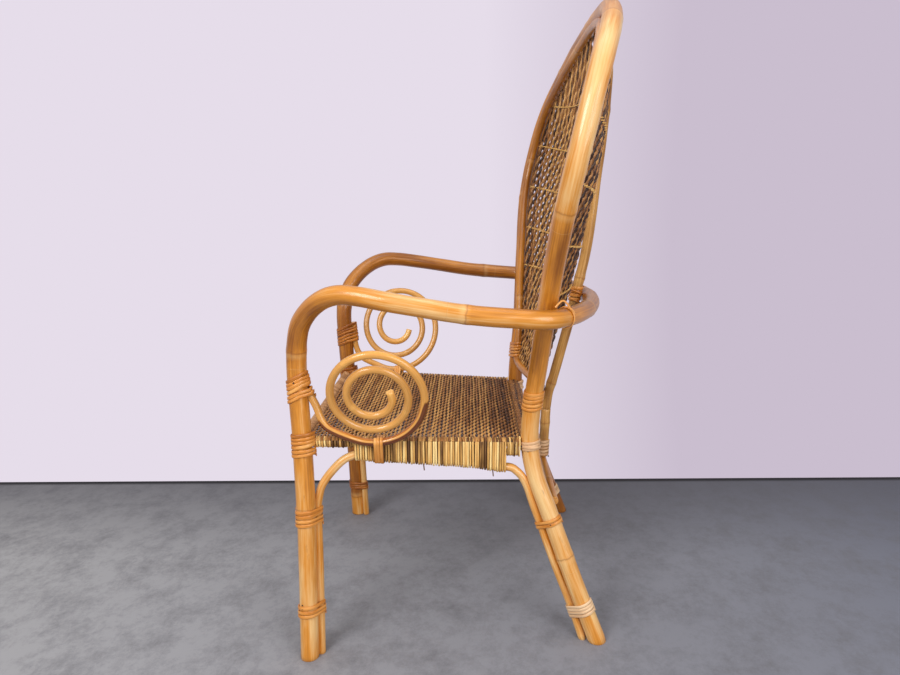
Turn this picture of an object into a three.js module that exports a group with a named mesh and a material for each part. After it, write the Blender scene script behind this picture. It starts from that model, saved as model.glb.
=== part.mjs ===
// Peacock chair of bent rattan canes, in millimetres, +Z up, the sitter facing -Y.
// Y runs back from the front legs, and the finished chair is centred over the origin.
import * as THREE from 'three';

// Clearances and cane sizes
const gap = 0.3;
const armRadius = 16;
const hoopRadius = 16.5;
const innerHoopRadius = 9;
const braceRadius = 7.5;
const scrollRadius = 6.5;
const strutRadius = 10;
const crossBarRadius = 8;
const railRadius = 7;
const endRailRadius = 9;
const slatRadius = 6;

// Overall frame
const legSpacing = 410;
const armHeight = 665;
const armHalfWidth = 342;
const hoopHeight = 1143;
const hoopHalfWidth = 414;
const hoopSetback = 156;

// Seat
const seatFrontHeight = 393;
const seatRearHeight = 368;
const seatFrontHalfWidth = 240;
const seatRearHalfWidth = 212;
const rearRailInset = 5;
const wrapThickness = 3;
const weaveThickness = 8;
const slatCount = 3;

// Arm and back
const armFall = 45;
const bowFall = 15;
const armCrossHeight = armHeight - armFall;
const bowHeight = armCrossHeight - bowFall;
const innerLeaveRise = 55;
const innerFootDrop = 32;
const strutFootDrop = 24;
const innerLeaveHeight = seatRearHeight + innerLeaveRise;
const innerBottomHeight = innerLeaveHeight - innerFootDrop;
const strutFootHeight = innerBottomHeight - strutFootDrop;
const strutFootSetback = 52;
const strutBow = 108;
const crossBarHeight = 252;
const crossBarSetback = 45;
const panelThickness = 5;
const panelDishDepth = 12;
const panelRimTurn = THREE.MathUtils.degToRad(45);

// Side braces: each leaves its legs under the seat and rises to its drop below the side rail
const braceFrontFall = 123;
const braceRearFall = 143;
const braceFrontRise = seatFrontHeight - braceFrontFall;
const braceRearRise = seatRearHeight - braceRearFall;
const braceFrontReach = 92;
const braceRearReach = 367;
const braceFrontDrop = 24.4;
const braceRearDrop = 40.6;

// Scrolls in the room between seat and arm: shares of that room
const scrollRoom = armHeight - seatFrontHeight;
const leftScrollRadiusShare = 0.3713;
const leftScrollRiseShare = 0.3346;
const rightScrollRadiusShare = 0.4007;
const rightScrollRiseShare = 0.4044;
const scrollLashShare = 0.3603;
const scrollTipRise = 41;
const leftScrollRadius = leftScrollRadiusShare * scrollRoom;
const leftScrollReach = 137;
const leftScrollRise = leftScrollRiseShare * scrollRoom;
const leftScrollSweep = THREE.MathUtils.degToRad(862);
const rightScrollRadius = rightScrollRadiusShare * scrollRoom;
const rightScrollReach = 124;
const rightScrollRise = rightScrollRiseShare * scrollRoom;
const rightScrollSweep = THREE.MathUtils.degToRad(827);
const scrollInnerRadius = 31;
const scrollFootRise = 12.5;
const scrollLean = THREE.MathUtils.degToRad(18);
const scrollStartAngle = THREE.MathUtils.degToRad(-124);
const scrollWidthShare = 0.96;
const scrollStep = THREE.MathUtils.degToRad(20);
const scrollEntryShares = [[0.1, 0.35], [0.42, 0.74]];

// Lashings: strand width, strand thickness and the spacing of its turns
const strandWidth = 5.6;
const strandThickness = 2.6;
const strandPitch = 7.2;
const strandGap = 0.4;
const fineWidth = 4.8;
const finePitch = 6;
const strapWidth = 6.4;
const strapPitch = 8;
const turnStep = THREE.MathUtils.degToRad(30);
const cornerShare = 1 / Math.cos(turnStep / 2);
const strandReach = (strandGap + strandThickness) * cornerShare;

// Height of the middle of each lashing on its leg
const scrollLashHeight = seatFrontHeight + scrollLashShare * scrollRoom;
const scrollTipHeight = scrollLashHeight + scrollTipRise;
const seatLashDrop = 3;
const frontSeatLashHeight = seatFrontHeight - seatLashDrop;
const braceLashDrop = 11;
const frontBraceLashHeight = braceFrontRise - braceLashDrop;
const frontLowLashHeight = 82;
const hoopLashRise = 27;
const hoopLashHeight = innerLeaveHeight + hoopLashRise;
const rearSeatLashHeight = seatRearHeight - seatLashDrop;
const rearBraceLashHeight = braceRearRise;
const rearLowLashHeight = 64;
const armStrapSetback = 39;
const footLashRise = 28;
const strapNotchHalf = 10;

// Outline of the outer hoop: shares of its height, its half width and its setback
const hoopShares = [
  [0, 0.66, 0.752],
  [0.103, 0.615, 0.476],
  [0.225, 0.553, 0.17],
  [0.266, 0.531, 0.065],
  [0.314, 0.51, 0],
  [0.375, 0.512, 0.02],
  [0.436, 0.541, 0.077],
  [0.489, 0.606, 0.115],
  [0.541, 0.688, 0.147],
  [0.611, 0.79, 0.196],
  [0.681, 0.913, 0.25],
  [0.742, 0.988, 0.327],
  [0.794, 1, 0.417],
  [0.846, 0.976, 0.52],
  [0.89, 0.911, 0.627],
  [0.925, 0.795, 0.737],
  [0.9555, 0.62, 0.84],
  [0.979, 0.437, 0.917],
  [0.994, 0.225, 0.977],
  [1, 0, 1],
];

// Front leg and arm: shares of the arm's half width, the leg spacing and the arm height
const armShares = [
  [0.8655, -0.007, 0],
  [0.76, 0, 0.389],
  [0.693, 0, 0.741],
  [0.69, 0.003, 0.833],
  [0.737, 0.034, 0.91],
  [0.833, 0.127, 0.974],
  [0.912, 0.232, 1],
  [0.98, 0.407, 0.988],
  [1, 0.734, 0.952],
];

// Back strut: shares of the height from its foot to the inner hoop, and of its own bow
const strutShares = [
  [0, 0],
  [0.044, 0.047],
  [0.095, 0.153],
  [0.158, 0.275],
  [0.226, 0.407],
  [0.336, 0.594],
  [0.43, 0.75],
  [0.512, 0.844],
  [0.618, 0.934],
  [0.723, 1.029],
  [0.838, 1.109],
  [0.918, 1.136],
];

// Rounded foot of the inner hoop: shares of the way in, down and back
const innerFootShares = [
  [0.05, 0.35, 0.05],
  [0.25, 0.68, 0.25],
  [0.55, 0.9, 0.6],
  [0.8, 0.98, 0.88],
];

const colours = {
  cane: 0xc98a3e,
  aged: 0xa8854d,
  weave: 0x8a5f35,
  straw: 0xcfa566,
  lash: 0xc07c3a,
  pale: 0xd6b080,
};

const chair = new THREE.Group();

function finish(colour, roughness) {
  return new THREE.MeshStandardMaterial({ color: colour, roughness, metalness: 0 });
}

function place(x, y, z) {
  return new THREE.Vector3(x, y, z);
}

function add(name, geometry, colour, roughness = 0.35) {
  const mesh = new THREE.Mesh(geometry, finish(colour, roughness));
  mesh.name = name;
  chair.add(mesh);
  return mesh;
}

// A path through given points; its cut ends may be level instead of square to the cane.
class Spine extends THREE.Curve {
  constructor(points, levelStart = false, levelEnd = false) {
    super();
    this.points = points;
    this.levelStart = levelStart;
    this.levelEnd = levelEnd;
  }

  getPoint(t, target = new THREE.Vector3()) {
    const last = this.points.length - 1;
    const along = THREE.MathUtils.clamp(t, 0, 1) * last;
    const index = Math.min(Math.floor(along + 1e-9), last - 1);
    return target.lerpVectors(this.points[index], this.points[index + 1], along - index);
  }

  getPointAt(t, target) {
    return this.getPoint(t, target);
  }

  getTangentAt(t, target = new THREE.Vector3()) {
    const last = this.points.length - 1;
    const index = Math.round(t * last);
    const before = this.points[Math.max(index - 1, 0)];
    const after = this.points[Math.min(index + 1, last)];
    target.subVectors(after, before).normalize();
    const level = (index === 0 && this.levelStart) || (index === last && this.levelEnd);
    return level ? target.set(0, 0, Math.sign(target.z)) : target;
  }
}

// Smooth points through a few places, with the same number of steps between each two.
function smooth(places, stepsBetween) {
  const curve = new THREE.CatmullRomCurve3(places, false, 'centripetal');
  return curve.getPoints((places.length - 1) * stepsBetween);
}

function roundShape(radius, sides) {
  const corners = [];
  for (let side = 0; side < sides; side += 1) {
    const angle = (2 * Math.PI * side) / sides;
    corners.push(new THREE.Vector2(radius * Math.cos(angle), radius * Math.sin(angle)));
  }
  return new THREE.Shape(corners);
}

function cane(points, radius, sides, levelStart = false, levelEnd = false) {
  return new THREE.ExtrudeGeometry(roundShape(radius, sides), {
    steps: points.length - 1,
    bevelEnabled: false,
    extrudePath: new Spine(points, levelStart, levelEnd),
  });
}

function mirrorPoint(point) {
  return place(-point.x, point.y, point.z);
}

// The same points on the other side, in the same order.
function mirrored(points) {
  return points.map(mirrorPoint);
}

// Right-hand points and their mirror image as one path over the middle.
function overMiddle(points) {
  return [...points, ...mirrored(points).reverse().slice(1)];
}

// The place where a path passes a value of one axis, counted from its start.
function crossingAt(points, axis, value) {
  for (let index = 0; index < points.length - 1; index += 1) {
    const from = points[index][axis] - value;
    const to = points[index + 1][axis] - value;
    if (from * to <= 0 && from !== to) {
      const point = points[index].clone().lerp(points[index + 1], from / (from - to));
      const tangent = points[index + 1].clone().sub(points[index]).normalize();
      return { point, tangent };
    }
  }
  const end = points[points.length - 1];
  const tangent = end.clone().sub(points[points.length - 2]).normalize();
  return { point: end.clone(), tangent };
}

// The place where a path crosses a plane, nearest to a given point.
function planeCut(points, origin, normal) {
  let best = null;
  let bestDistance = Infinity;
  for (let index = 0; index < points.length - 1; index += 1) {
    const from = points[index].clone().sub(origin).dot(normal);
    const to = points[index + 1].clone().sub(origin).dot(normal);
    if (from * to > 0 || from === to) {
      continue;
    }
    const point = points[index].clone().lerp(points[index + 1], from / (from - to));
    const distance = point.distanceTo(origin);
    if (distance < bestDistance) {
      best = point;
      bestDistance = distance;
    }
  }
  return best;
}

function pathDistance(first, second) {
  let least = Infinity;
  const nearest = [new THREE.Vector3(), new THREE.Vector3()];
  for (let one = 0; one < first.length - 1; one += 1) {
    for (let two = 0; two < second.length - 1; two += 1) {
      const ends = [first[one], first[one + 1], second[two], second[two + 1]];
      least = Math.min(least, segmentDistance(ends, nearest));
    }
  }
  return least;
}

// Least distance between two straight segments.
function segmentDistance(ends, nearest) {
  const along = ends[1].clone().sub(ends[0]);
  const across = ends[3].clone().sub(ends[2]);
  const between = ends[0].clone().sub(ends[2]);
  const a = along.dot(along);
  const b = along.dot(across);
  const c = across.dot(across);
  const d = along.dot(between);
  const e = across.dot(between);
  const spread = a * c - b * b;
  let s = spread > 0 ? THREE.MathUtils.clamp((b * e - c * d) / spread, 0, 1) : 0;
  const t = THREE.MathUtils.clamp((b * s + e) / c, 0, 1);
  s = THREE.MathUtils.clamp((b * t - d) / a, 0, 1);
  nearest[0].copy(ends[0]).addScaledVector(along, s);
  nearest[1].copy(ends[2]).addScaledVector(across, t);
  return nearest[0].distanceTo(nearest[1]);
}

// A closed body from triangles given as corner points.
function bodyOf(triangles) {
  const geometry = new THREE.BufferGeometry();
  const numbers = [];
  for (const corner of triangles.flat()) {
    numbers.push(corner.x, corner.y, corner.z);
  }
  geometry.setAttribute('position', new THREE.Float32BufferAttribute(numbers, 3));
  geometry.computeVertexNormals();
  return geometry;
}

// The mirror image of a body in X, with its faces still pointing out.
function mirroredBody(geometry) {
  const plain = geometry.index ? geometry.toNonIndexed() : geometry.clone();
  const from = plain.getAttribute('position');
  const numbers = [];
  for (let corner = 0; corner < from.count; corner += 3) {
    for (const turn of [0, 2, 1]) {
      numbers.push(-from.getX(corner + turn), from.getY(corner + turn), from.getZ(corner + turn));
    }
  }
  const body = new THREE.BufferGeometry();
  body.setAttribute('position', new THREE.Float32BufferAttribute(numbers, 3));
  body.computeVertexNormals();
  return body;
}

// Adds a piece on the sitter's left and its mirror image on the right.
function addPair(name, geometry, colour, roughness) {
  add('left_' + name, geometry, colour, roughness);
  add('right_' + name, mirroredBody(geometry), colour, roughness);
}

// Joins rings of equally many points into a tube; the ring order sets the faces outward.
function tubeFaces(rings) {
  const faces = [];
  for (let index = 0; index < rings.length - 1; index += 1) {
    const here = rings[index];
    const next = rings[index + 1];
    for (let side = 0; side < here.length; side += 1) {
      const other = (side + 1) % here.length;
      faces.push([here[side], here[other], next[other]]);
      faces.push([here[side], next[other], next[side]]);
    }
  }
  return faces;
}

function capFaces(ring) {
  const faces = [];
  for (let side = 1; side < ring.length - 1; side += 1) {
    faces.push([ring[0], ring[side + 1], ring[side]]);
  }
  return faces;
}

function reversedFaces(faces) {
  return faces.map((face) => [face[0], face[2], face[1]]);
}

function solidTube(rings) {
  const last = rings[rings.length - 1];
  return bodyOf([...tubeFaces(rings), ...capFaces(rings[0]), ...reversedFaces(capFaces(last))]);
}

// Lashing geometry
// The canes under a lashing are circles in its plane. The strand follows the taut polygon
// round them, whose sides touch the circles, so that it never cuts into a cane.
function tautDirections(circles) {
  const fine = 720;
  const turns = [];
  let active = -1;
  for (let index = 0; index <= fine; index += 1) {
    const angle = (2 * Math.PI * index) / fine;
    const now = leadingCircle(circles, angle);
    if (index > 0 && now !== active) {
      turns.push(angle - Math.PI / fine);
    }
    active = now;
  }
  if (turns.length === 0) {
    turns.push(0);
  }
  const angles = [];
  turns.forEach((start, index) => {
    const end = index + 1 < turns.length ? turns[index + 1] : turns[0] + 2 * Math.PI;
    const parts = Math.max(1, Math.round((end - start) / turnStep));
    for (let part = 0; part < parts; part += 1) {
      angles.push(start + ((end - start) * part) / parts);
    }
  });
  return angles;
}

function reachOf(circle, angle) {
  return circle.x * Math.cos(angle) + circle.y * Math.sin(angle) + circle.radius;
}

function leadingCircle(circles, angle) {
  let best = 0;
  circles.forEach((circle, index) => {
    if (reachOf(circle, angle) > reachOf(circles[best], angle) + 1e-9) {
      best = index;
    }
  });
  return best;
}

// The corner of the taut polygon between two of its sides.
function tautCorner(circles, angle, nextAngle) {
  const reach = Math.max(...circles.map((circle) => reachOf(circle, angle)));
  const nextReach = Math.max(...circles.map((circle) => reachOf(circle, nextAngle)));
  const turn = Math.sin(nextAngle - angle);
  const x = (reach * Math.sin(nextAngle) - nextReach * Math.sin(angle)) / turn;
  const y = (nextReach * Math.cos(angle) - reach * Math.cos(nextAngle)) / turn;
  return new THREE.Vector2(x, y);
}

// One unbroken strand wound round canes that lie side by side.
// held: the canes as { points, radius }; station: the point and tangent on the first one.
function lashing(name, held, station, turns, width = strandWidth, pitch = strandPitch) {
  const axis = station.tangent.clone();
  const side = Math.abs(axis.y) > Math.SQRT1_2 ? place(0, 0, 1) : place(0, 1, 0);
  const across = side.clone().addScaledVector(axis, -side.dot(axis)).normalize();
  const third = new THREE.Vector3().crossVectors(axis, across);
  const circlesAt = (along, grow) => {
    const origin = station.point.clone().addScaledVector(axis, along);
    const centre = planeCut(held[0].points, origin, axis) ?? origin;
    return held.map((item) => {
      const cut = (planeCut(item.points, centre, axis) ?? centre).clone().sub(station.point);
      return { x: cut.dot(across), y: cut.dot(third), radius: item.radius + grow };
    });
  };
  const angles = tautDirections(circlesAt(0, strandGap));
  const rings = [];
  const middle = [];
  const steps = Math.round(turns * angles.length);
  for (let step = 0; step <= steps; step += 1) {
    const corner = step % angles.length;
    const angle = angles[corner];
    const nextAngle = corner + 1 < angles.length ? angles[corner + 1] : angles[0] + 2 * Math.PI;
    const along = (step / angles.length - turns / 2) * pitch;
    const ring = [];
    const edges = [
      [strandGap, -width / 2],
      [strandGap, width / 2],
      [strandGap + strandThickness, width / 4],
      [strandGap + strandThickness, -width / 4],
    ];
    for (const [grow, shift] of edges) {
      const flat = tautCorner(circlesAt(along + shift, grow), angle, nextAngle);
      const point = station.point.clone().addScaledVector(across, flat.x);
      ring.push(point.addScaledVector(third, flat.y).addScaledVector(axis, along + shift));
    }
    rings.push(ring);
    middle.push(ring[0].clone().add(ring[1]).multiplyScalar(1 / 2));
  }
  reportSelfGap(name, middle, angles.length, width);
  return solidTube(rings);
}

function reportSelfGap(name, middle, perTurn, width) {
  let least = Infinity;
  for (let one = 0; one < middle.length; one += 1) {
    for (let two = one + Math.ceil(perTurn / 2); two < middle.length; two += 1) {
      least = Math.min(least, middle[one].distanceTo(middle[two]) - width);
    }
  }
  if (least < Infinity) {
    console.log(name + ': least gap between turns ' + least.toFixed(2) + ' mm');
  }
}

// A wrapped sleeve round canes that run mostly along one axis, from one end to the other.
function sleeve(stations, axis) {
  const directions = tautDirections(stations[0].circles);
  const ringAt = (station, grow) => directions.map((angle, index) => {
    const next = index + 1 < directions.length ? directions[index + 1] : directions[0] + 2 * Math.PI;
    const circles = station.circles.map((circle) => ({ ...circle, radius: circle.radius + grow }));
    const flat = tautCorner(circles, angle, next);
    return axis === 'y' ? place(flat.x, station.at, flat.y) : place(station.at, -flat.x, flat.y);
  });
  const outer = stations.map((station) => ringAt(station, gap + wrapThickness));
  const inner = stations.map((station) => ringAt(station, gap));
  const faces = [...reversedFaces(tubeFaces(outer)), ...tubeFaces(inner)];
  const last = stations.length - 1;
  const nearEnd = tubeFaces([outer[0], inner[0]]);
  const farEnd = reversedFaces(tubeFaces([outer[last], inner[last]]));
  return bodyOf([...faces, ...nearEnd, ...farEnd]);
}

// Outer hoop: rear feet, waist at the seat, balloon-shaped back in one bent cane
const hoopPlaces = hoopShares.map(([up, out, back]) => place(
  out * hoopHalfWidth,
  legSpacing + back * hoopSetback,
  up * hoopHeight,
));
const hoopHalf = smooth(hoopPlaces, 2);
const hoopPath = overMiddle(hoopHalf);
add('back_hoop', cane(hoopPath, hoopRadius, 12, true, true), colours.cane);

// Setback of the hoop at a height above its waist
function hoopReachAt(height) {
  const waist = hoopPlaces.find((point) => point.y <= legSpacing);
  const upper = hoopHalf.filter((point) => point.z >= waist.z - gap);
  return crossingAt(upper, 'z', Math.min(height, hoopHeight)).point.y;
}

// Inner hoop, nested in the outer one from the seat lashing up over the top
function innerHoopHalf() {
  const spacing = hoopRadius + innerHoopRadius + gap;
  const inner = [];
  for (let index = hoopHalf.length - 1; index > 0; index -= 1) {
    const here = hoopHalf[index];
    const tangent = index === hoopHalf.length - 1
      ? place(-1, 0, 0)
      : hoopHalf[index + 1].clone().sub(hoopHalf[index - 1]);
    const inward = place(-tangent.z, 0, tangent.x).normalize();
    let offset = spacing;
    let point = here;
    for (let pass = 0; pass < 4; pass += 1) {
      point = here.clone().addScaledVector(inward, offset);
      point.y = hoopReachAt(point.z);
      offset *= spacing / point.distanceTo(here);
    }
    if (point.z < innerLeaveHeight) {
      break;
    }
    inner.push(point);
  }
  return inner;
}
const nestedHalf = innerHoopHalf();
const innerTop = nestedHalf[0];

// Back strut behind the panel, from the waist up to the top of the inner hoop
const strutSpacing = innerHoopRadius + strutRadius + gap;
function strutPlaces() {
  const footReach = legSpacing + strutFootSetback;
  const rise = innerTop.z - strutFootHeight;
  const places = strutShares.map(([up, bow]) => place(
    0,
    footReach + bow * strutBow,
    strutFootHeight + up * rise,
  ));
  return [...places, place(0, innerTop.y + strutSpacing, innerTop.z)];
}
const strutPath = smooth(strutPlaces(), 1);
add('back_strut', cane(strutPath, strutRadius, 10, true, false), colours.aged, 0.45);

// Reach of a piece that touches the strut at a height, in front of it or behind it
function besideStrut(height, radius, sign) {
  const { point, tangent } = crossingAt(strutPath, 'z', height);
  return point.y + sign * ((strutRadius + radius + gap) / tangent.z);
}

// Foot of the inner hoop: it rounds in and down to meet the strut in the middle
function innerFoot() {
  const leave = nestedHalf[nestedHalf.length - 1];
  const bottom = place(0, besideStrut(innerBottomHeight, innerHoopRadius, -1), innerBottomHeight);
  const foot = innerFootShares.map(([inwardShare, downShare, backShare]) => place(
    THREE.MathUtils.lerp(leave.x, bottom.x, inwardShare),
    THREE.MathUtils.lerp(leave.y, bottom.y, backShare),
    THREE.MathUtils.lerp(leave.z, bottom.z, downShare),
  ));
  return [...foot, bottom];
}
const innerHalf = [...nestedHalf, ...innerFoot()];
const innerBottom = innerHalf[innerHalf.length - 1];

// A closed ring of cane: the loop's last section meets its first.
function closedCane(half, radius, sides) {
  const loop = [...half, ...mirrored(half).reverse().slice(1, -1)];
  const rings = loop.map((point, index) => {
    const before = loop[(index + loop.length - 1) % loop.length];
    const after = loop[(index + 1) % loop.length];
    const tangent = after.clone().sub(before).normalize();
    const across = place(0, 1, 0).addScaledVector(tangent, -tangent.y).normalize();
    const third = new THREE.Vector3().crossVectors(tangent, across);
    const ring = [];
    for (let side = 0; side < sides; side += 1) {
      const angle = (2 * Math.PI * side) / sides;
      const corner = point.clone().addScaledVector(across, radius * Math.cos(angle));
      ring.push(corner.addScaledVector(third, radius * Math.sin(angle)));
    }
    return ring;
  });
  return bodyOf(tubeFaces([...rings, rings[0]]));
}
add('inner_hoop', closedCane(innerHalf, innerHoopRadius, 8), colours.cane);

// Arm rail: front legs, arms and the bow behind the back in one bent cane
const bowReach = besideStrut(bowHeight, armRadius + strandReach, 1);
const bowWidthPower = 1.3;
const bowReachPower = 1.4;
const bowSteps = 7;
function armPlaces(crossHalfWidth, crossReach) {
  const places = armShares.map(([out, back, up]) => place(
    out * armHalfWidth,
    back * legSpacing,
    up * armHeight,
  ));
  for (let step = 0; step <= bowSteps; step += 1) {
    const angle = (Math.PI / 2) * (step / bowSteps);
    const out = step === bowSteps ? 0 : Math.cos(angle) ** bowWidthPower;
    places.push(place(
      crossHalfWidth * out,
      THREE.MathUtils.lerp(crossReach, bowReach, Math.sin(angle) ** bowReachPower),
      THREE.MathUtils.lerp(armCrossHeight, bowHeight, Math.sin(angle) ** 2),
    ));
  }
  return places;
}
function settledArm() {
  const hoopHere = crossingAt(hoopHalf, 'z', armCrossHeight).point;
  const wanted = armRadius + hoopRadius + gap;
  let halfWidth = hoopHere.x + wanted;
  let half = [];
  for (let pass = 0; pass < 8; pass += 1) {
    half = smooth(armPlaces(halfWidth, hoopHere.y), 2);
    halfWidth += wanted - pathDistance(half, hoopHalf);
  }
  return half;
}
const armHalf = settledArm();
add('arm_rail', cane(overMiddle(armHalf), armRadius, 12, true, true), colours.cane);

// A point beside a leg at a height, touching it with the given spacing
function besideLeg(legHalf, height, spacing, direction) {
  const { point, tangent } = crossingAt(legHalf, 'z', height);
  const shift = place(...direction, 0);
  const square = shift.clone().addScaledVector(tangent, -shift.dot(tangent));
  return point.clone().addScaledVector(shift, spacing / square.length());
}

// Seat rails
function alongSeat(reach) {
  const share = reach / legSpacing;
  return place(
    THREE.MathUtils.lerp(seatFrontHalfWidth, seatRearHalfWidth, share),
    reach,
    THREE.MathUtils.lerp(seatFrontHeight, seatRearHeight, share),
  );
}
const frontLashReach = armRadius * cornerShare + strandReach + gap;
const rearLashReach = hoopRadius * cornerShare + strandReach + gap;
const hoopAtSeat = crossingAt(hoopHalf, 'z', seatRearHeight).point;
const legAtSeat = crossingAt(armHalf, 'z', seatFrontHeight).point;
const sideRailFront = legAtSeat.y + frontLashReach;
const sideRailRear = hoopAtSeat.y - rearLashReach;
const sideRailEnds = [alongSeat(sideRailFront), alongSeat(sideRailRear)];
addPair('side_rail', cane(sideRailEnds, railRadius, 8), colours.cane);

function crossCane(halfLength, reach, height, radius) {
  return cane([place(-halfLength, reach, height), place(halfLength, reach, height)], radius, 10);
}
const frontRailHalf = legAtSeat.x - frontLashReach;
const rearRailHalf = hoopAtSeat.x - rearLashReach;
const rearRailReach = hoopAtSeat.y - rearRailInset;
add('front_rail', crossCane(frontRailHalf, legAtSeat.y, seatFrontHeight, endRailRadius), colours.cane);
add('rear_rail', crossCane(rearRailHalf, rearRailReach, seatRearHeight, endRailRadius), colours.cane);

// Side braces: from the front foot up, under the side rail and down to the rear foot
const braceFrontShares = [0, 0.3, 0.62, 0.85, 1];
const braceFrontArchShares = [[0.13, 0.41], [0.45, 0.74], [0.75, 0.935]];
const braceRearArchShares = [[0.26, 0.3], [0.49, 0.57], [0.73, 0.8]];
const inFromFrontLeg = [-0.5, 0.87];
const inFromRearLeg = [-0.35, -0.94];
const behindFrontLeg = [0.05, 1];
function bracePath() {
  const frontSpacing = armRadius + braceRadius + gap;
  const rearSpacing = hoopRadius + braceRadius + gap;
  const beside = (share) => besideLeg(armHalf, share * braceFrontRise, frontSpacing, inFromFrontLeg);
  const behind = (share) => besideLeg(hoopHalf, share * braceRearRise, rearSpacing, inFromRearLeg);
  const frontLeg = braceFrontShares.map(beside);
  const rearLeg = braceFrontShares.map(behind);
  const under = (reach, drop) => alongSeat(reach).sub(place(0, 0, drop));
  const frontTop = under(braceFrontReach, braceFrontDrop);
  const rearTop = under(braceRearReach, braceRearDrop);
  const arch = (from, to, shares) => shares.map(([over, up]) => place(
    THREE.MathUtils.lerp(from.x, to.x, over),
    THREE.MathUtils.lerp(from.y, to.y, over),
    THREE.MathUtils.lerp(from.z, to.z, up),
  ));
  const rise = frontLeg[frontLeg.length - 1];
  const fall = rearLeg[rearLeg.length - 1];
  const front = smooth([rise, ...arch(rise, frontTop, braceFrontArchShares), frontTop], 2);
  const rear = smooth([fall, ...arch(fall, rearTop, braceRearArchShares), rearTop], 2).reverse();
  return [...frontLeg.slice(0, -1), ...front, ...rear, ...rearLeg.reverse().slice(1)];
}
const bracePoints = bracePath();
addPair('side_brace', cane(bracePoints, braceRadius, 8, true, true), colours.cane);

// Wrapped strands round the side rail, first alone and then together with the brace
function railCircle(reach) {
  const rail = alongSeat(reach);
  return { x: rail.x, y: rail.z, radius: railRadius };
}
function braceCircle(reach) {
  const arch = bracePoints.filter((point) => point.z > braceRearRise);
  const brace = planeCut(arch, alongSeat(reach), place(0, 1, 0));
  return { x: brace.x, y: brace.z, radius: braceRadius };
}
const jointReach = braceFrontReach + gap;
const soloStations = [sideRailFront + gap, jointReach - 2 * gap].map((at) => (
  { at, circles: [railCircle(at)] }
));
const bothStations = [jointReach, braceRearReach - braceRadius].map((at) => (
  { at, circles: [railCircle(at), braceCircle(at)] }
));
addPair('front_side_wrap', sleeve(soloStations, 'y'), colours.straw, 0.7);
addPair('side_wrap', sleeve(bothStations, 'y'), colours.straw, 0.7);

// Wraps round the front and rear rails
function endWrap(half, reach, height) {
  const circles = [{ x: -reach, y: height, radius: endRailRadius }];
  return sleeve([-half + gap, half - gap].map((at) => ({ at, circles })), 'x');
}
add('front_wrap', endWrap(frontRailHalf, legAtSeat.y, seatFrontHeight), colours.straw, 0.7);
add('rear_wrap', endWrap(rearRailHalf, rearRailReach, seatRearHeight), colours.weave, 0.7);

// Woven seat between the wraps, and the slats that carry it
const endWrapReach = (endRailRadius + gap + wrapThickness) * cornerShare + gap;
const sideWrapReach = (railRadius + gap + wrapThickness) * cornerShare + gap;
const weaveTopRise = railRadius + gap + wrapThickness;
function seatRing(reach, inset) {
  const rail = alongSeat(reach);
  const half = rail.x - sideWrapReach - inset;
  const low = rail.z + weaveTopRise - weaveThickness;
  const high = rail.z + weaveTopRise;
  return [
    place(-half, reach, low),
    place(-half, reach, high),
    place(half, reach, high),
    place(half, reach, low),
  ];
}
const weaveFront = legAtSeat.y + endWrapReach;
const weaveRear = Math.min(rearRailReach - endWrapReach, hoopAtSeat.y - hoopRadius - gap);
const notchFront = Math.min(leftScrollReach, rightScrollReach) - strapNotchHalf;
const notchRear = Math.max(leftScrollReach, rightScrollReach) + strapNotchHalf;
const seatRings = [
  seatRing(weaveFront, 0),
  seatRing(notchFront, 0),
  seatRing(notchFront + gap, strandReach),
  seatRing(notchRear - gap, strandReach),
  seatRing(notchRear, 0),
  seatRing(weaveRear, 0),
];
add('seat_weave', solidTube(seatRings), colours.weave, 0.75);

for (let slat = 1; slat <= slatCount; slat += 1) {
  const reach = THREE.MathUtils.lerp(weaveFront, weaveRear, slat / (slatCount + 1));
  const rail = alongSeat(reach);
  const height = rail.z + weaveTopRise - weaveThickness - gap - slatRadius;
  const slope = (seatFrontHeight - seatRearHeight) / legSpacing;
  const drop = slatRadius * slope;
  const geometry = crossCane(rail.x - sideWrapReach, reach, height - drop, slatRadius);
  add('seat_slat_' + slat, geometry, colours.cane, 0.5);
}

// Scrolls between leg, seat and arm: each leans outward and rests against the side wrap
function scrollPath(centreReach, centreRise, outerRadius, sweep) {
  const rodSpacing = armRadius + scrollRadius + gap;
  const tailEnd = scrollLashHeight - 3 * strandPitch;
  const tail = [scrollTipHeight, scrollLashHeight, tailEnd].map((height) => (
    besideLeg(armHalf, height, rodSpacing, behindFrontLeg)
  ));
  const bottom = alongSeat(centreReach).z + scrollFootRise;
  const contact = (braceRadius + gap + wrapThickness) * cornerShare + scrollRadius + gap;
  const spiral = [];
  let restX = 0;
  const steps = Math.round(sweep / scrollStep);
  for (let step = 0; step <= steps; step += 1) {
    const share = step / steps;
    const angle = scrollStartAngle + sweep * share;
    const radius = THREE.MathUtils.lerp(outerRadius, scrollInnerRadius, share);
    const up = centreRise + radius * Math.sin(angle);
    const point = place(
      up * Math.sin(scrollLean),
      centreReach + scrollWidthShare * radius * Math.cos(angle),
      bottom + up * Math.cos(scrollLean),
    );
    const rail = railCircle(point.y);
    const above = Math.abs(point.z - rail.y);
    if (above < contact) {
      restX = Math.max(restX, rail.x + Math.sqrt(contact ** 2 - above ** 2) - point.x);
    }
    spiral.push(point);
  }
  spiral.forEach((point) => {
    point.x += restX;
  });
  const start = spiral[0];
  const entry = tail[tail.length - 1];
  const way = scrollEntryShares.map(([over, down]) => place(
    THREE.MathUtils.lerp(entry.x, start.x, down),
    THREE.MathUtils.lerp(entry.y, start.y, over),
    THREE.MathUtils.lerp(entry.z, start.z, down),
  ));
  return [...tail.slice(0, -1), ...smooth([entry, ...way, start], 2), ...spiral.slice(1)];
}
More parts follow.
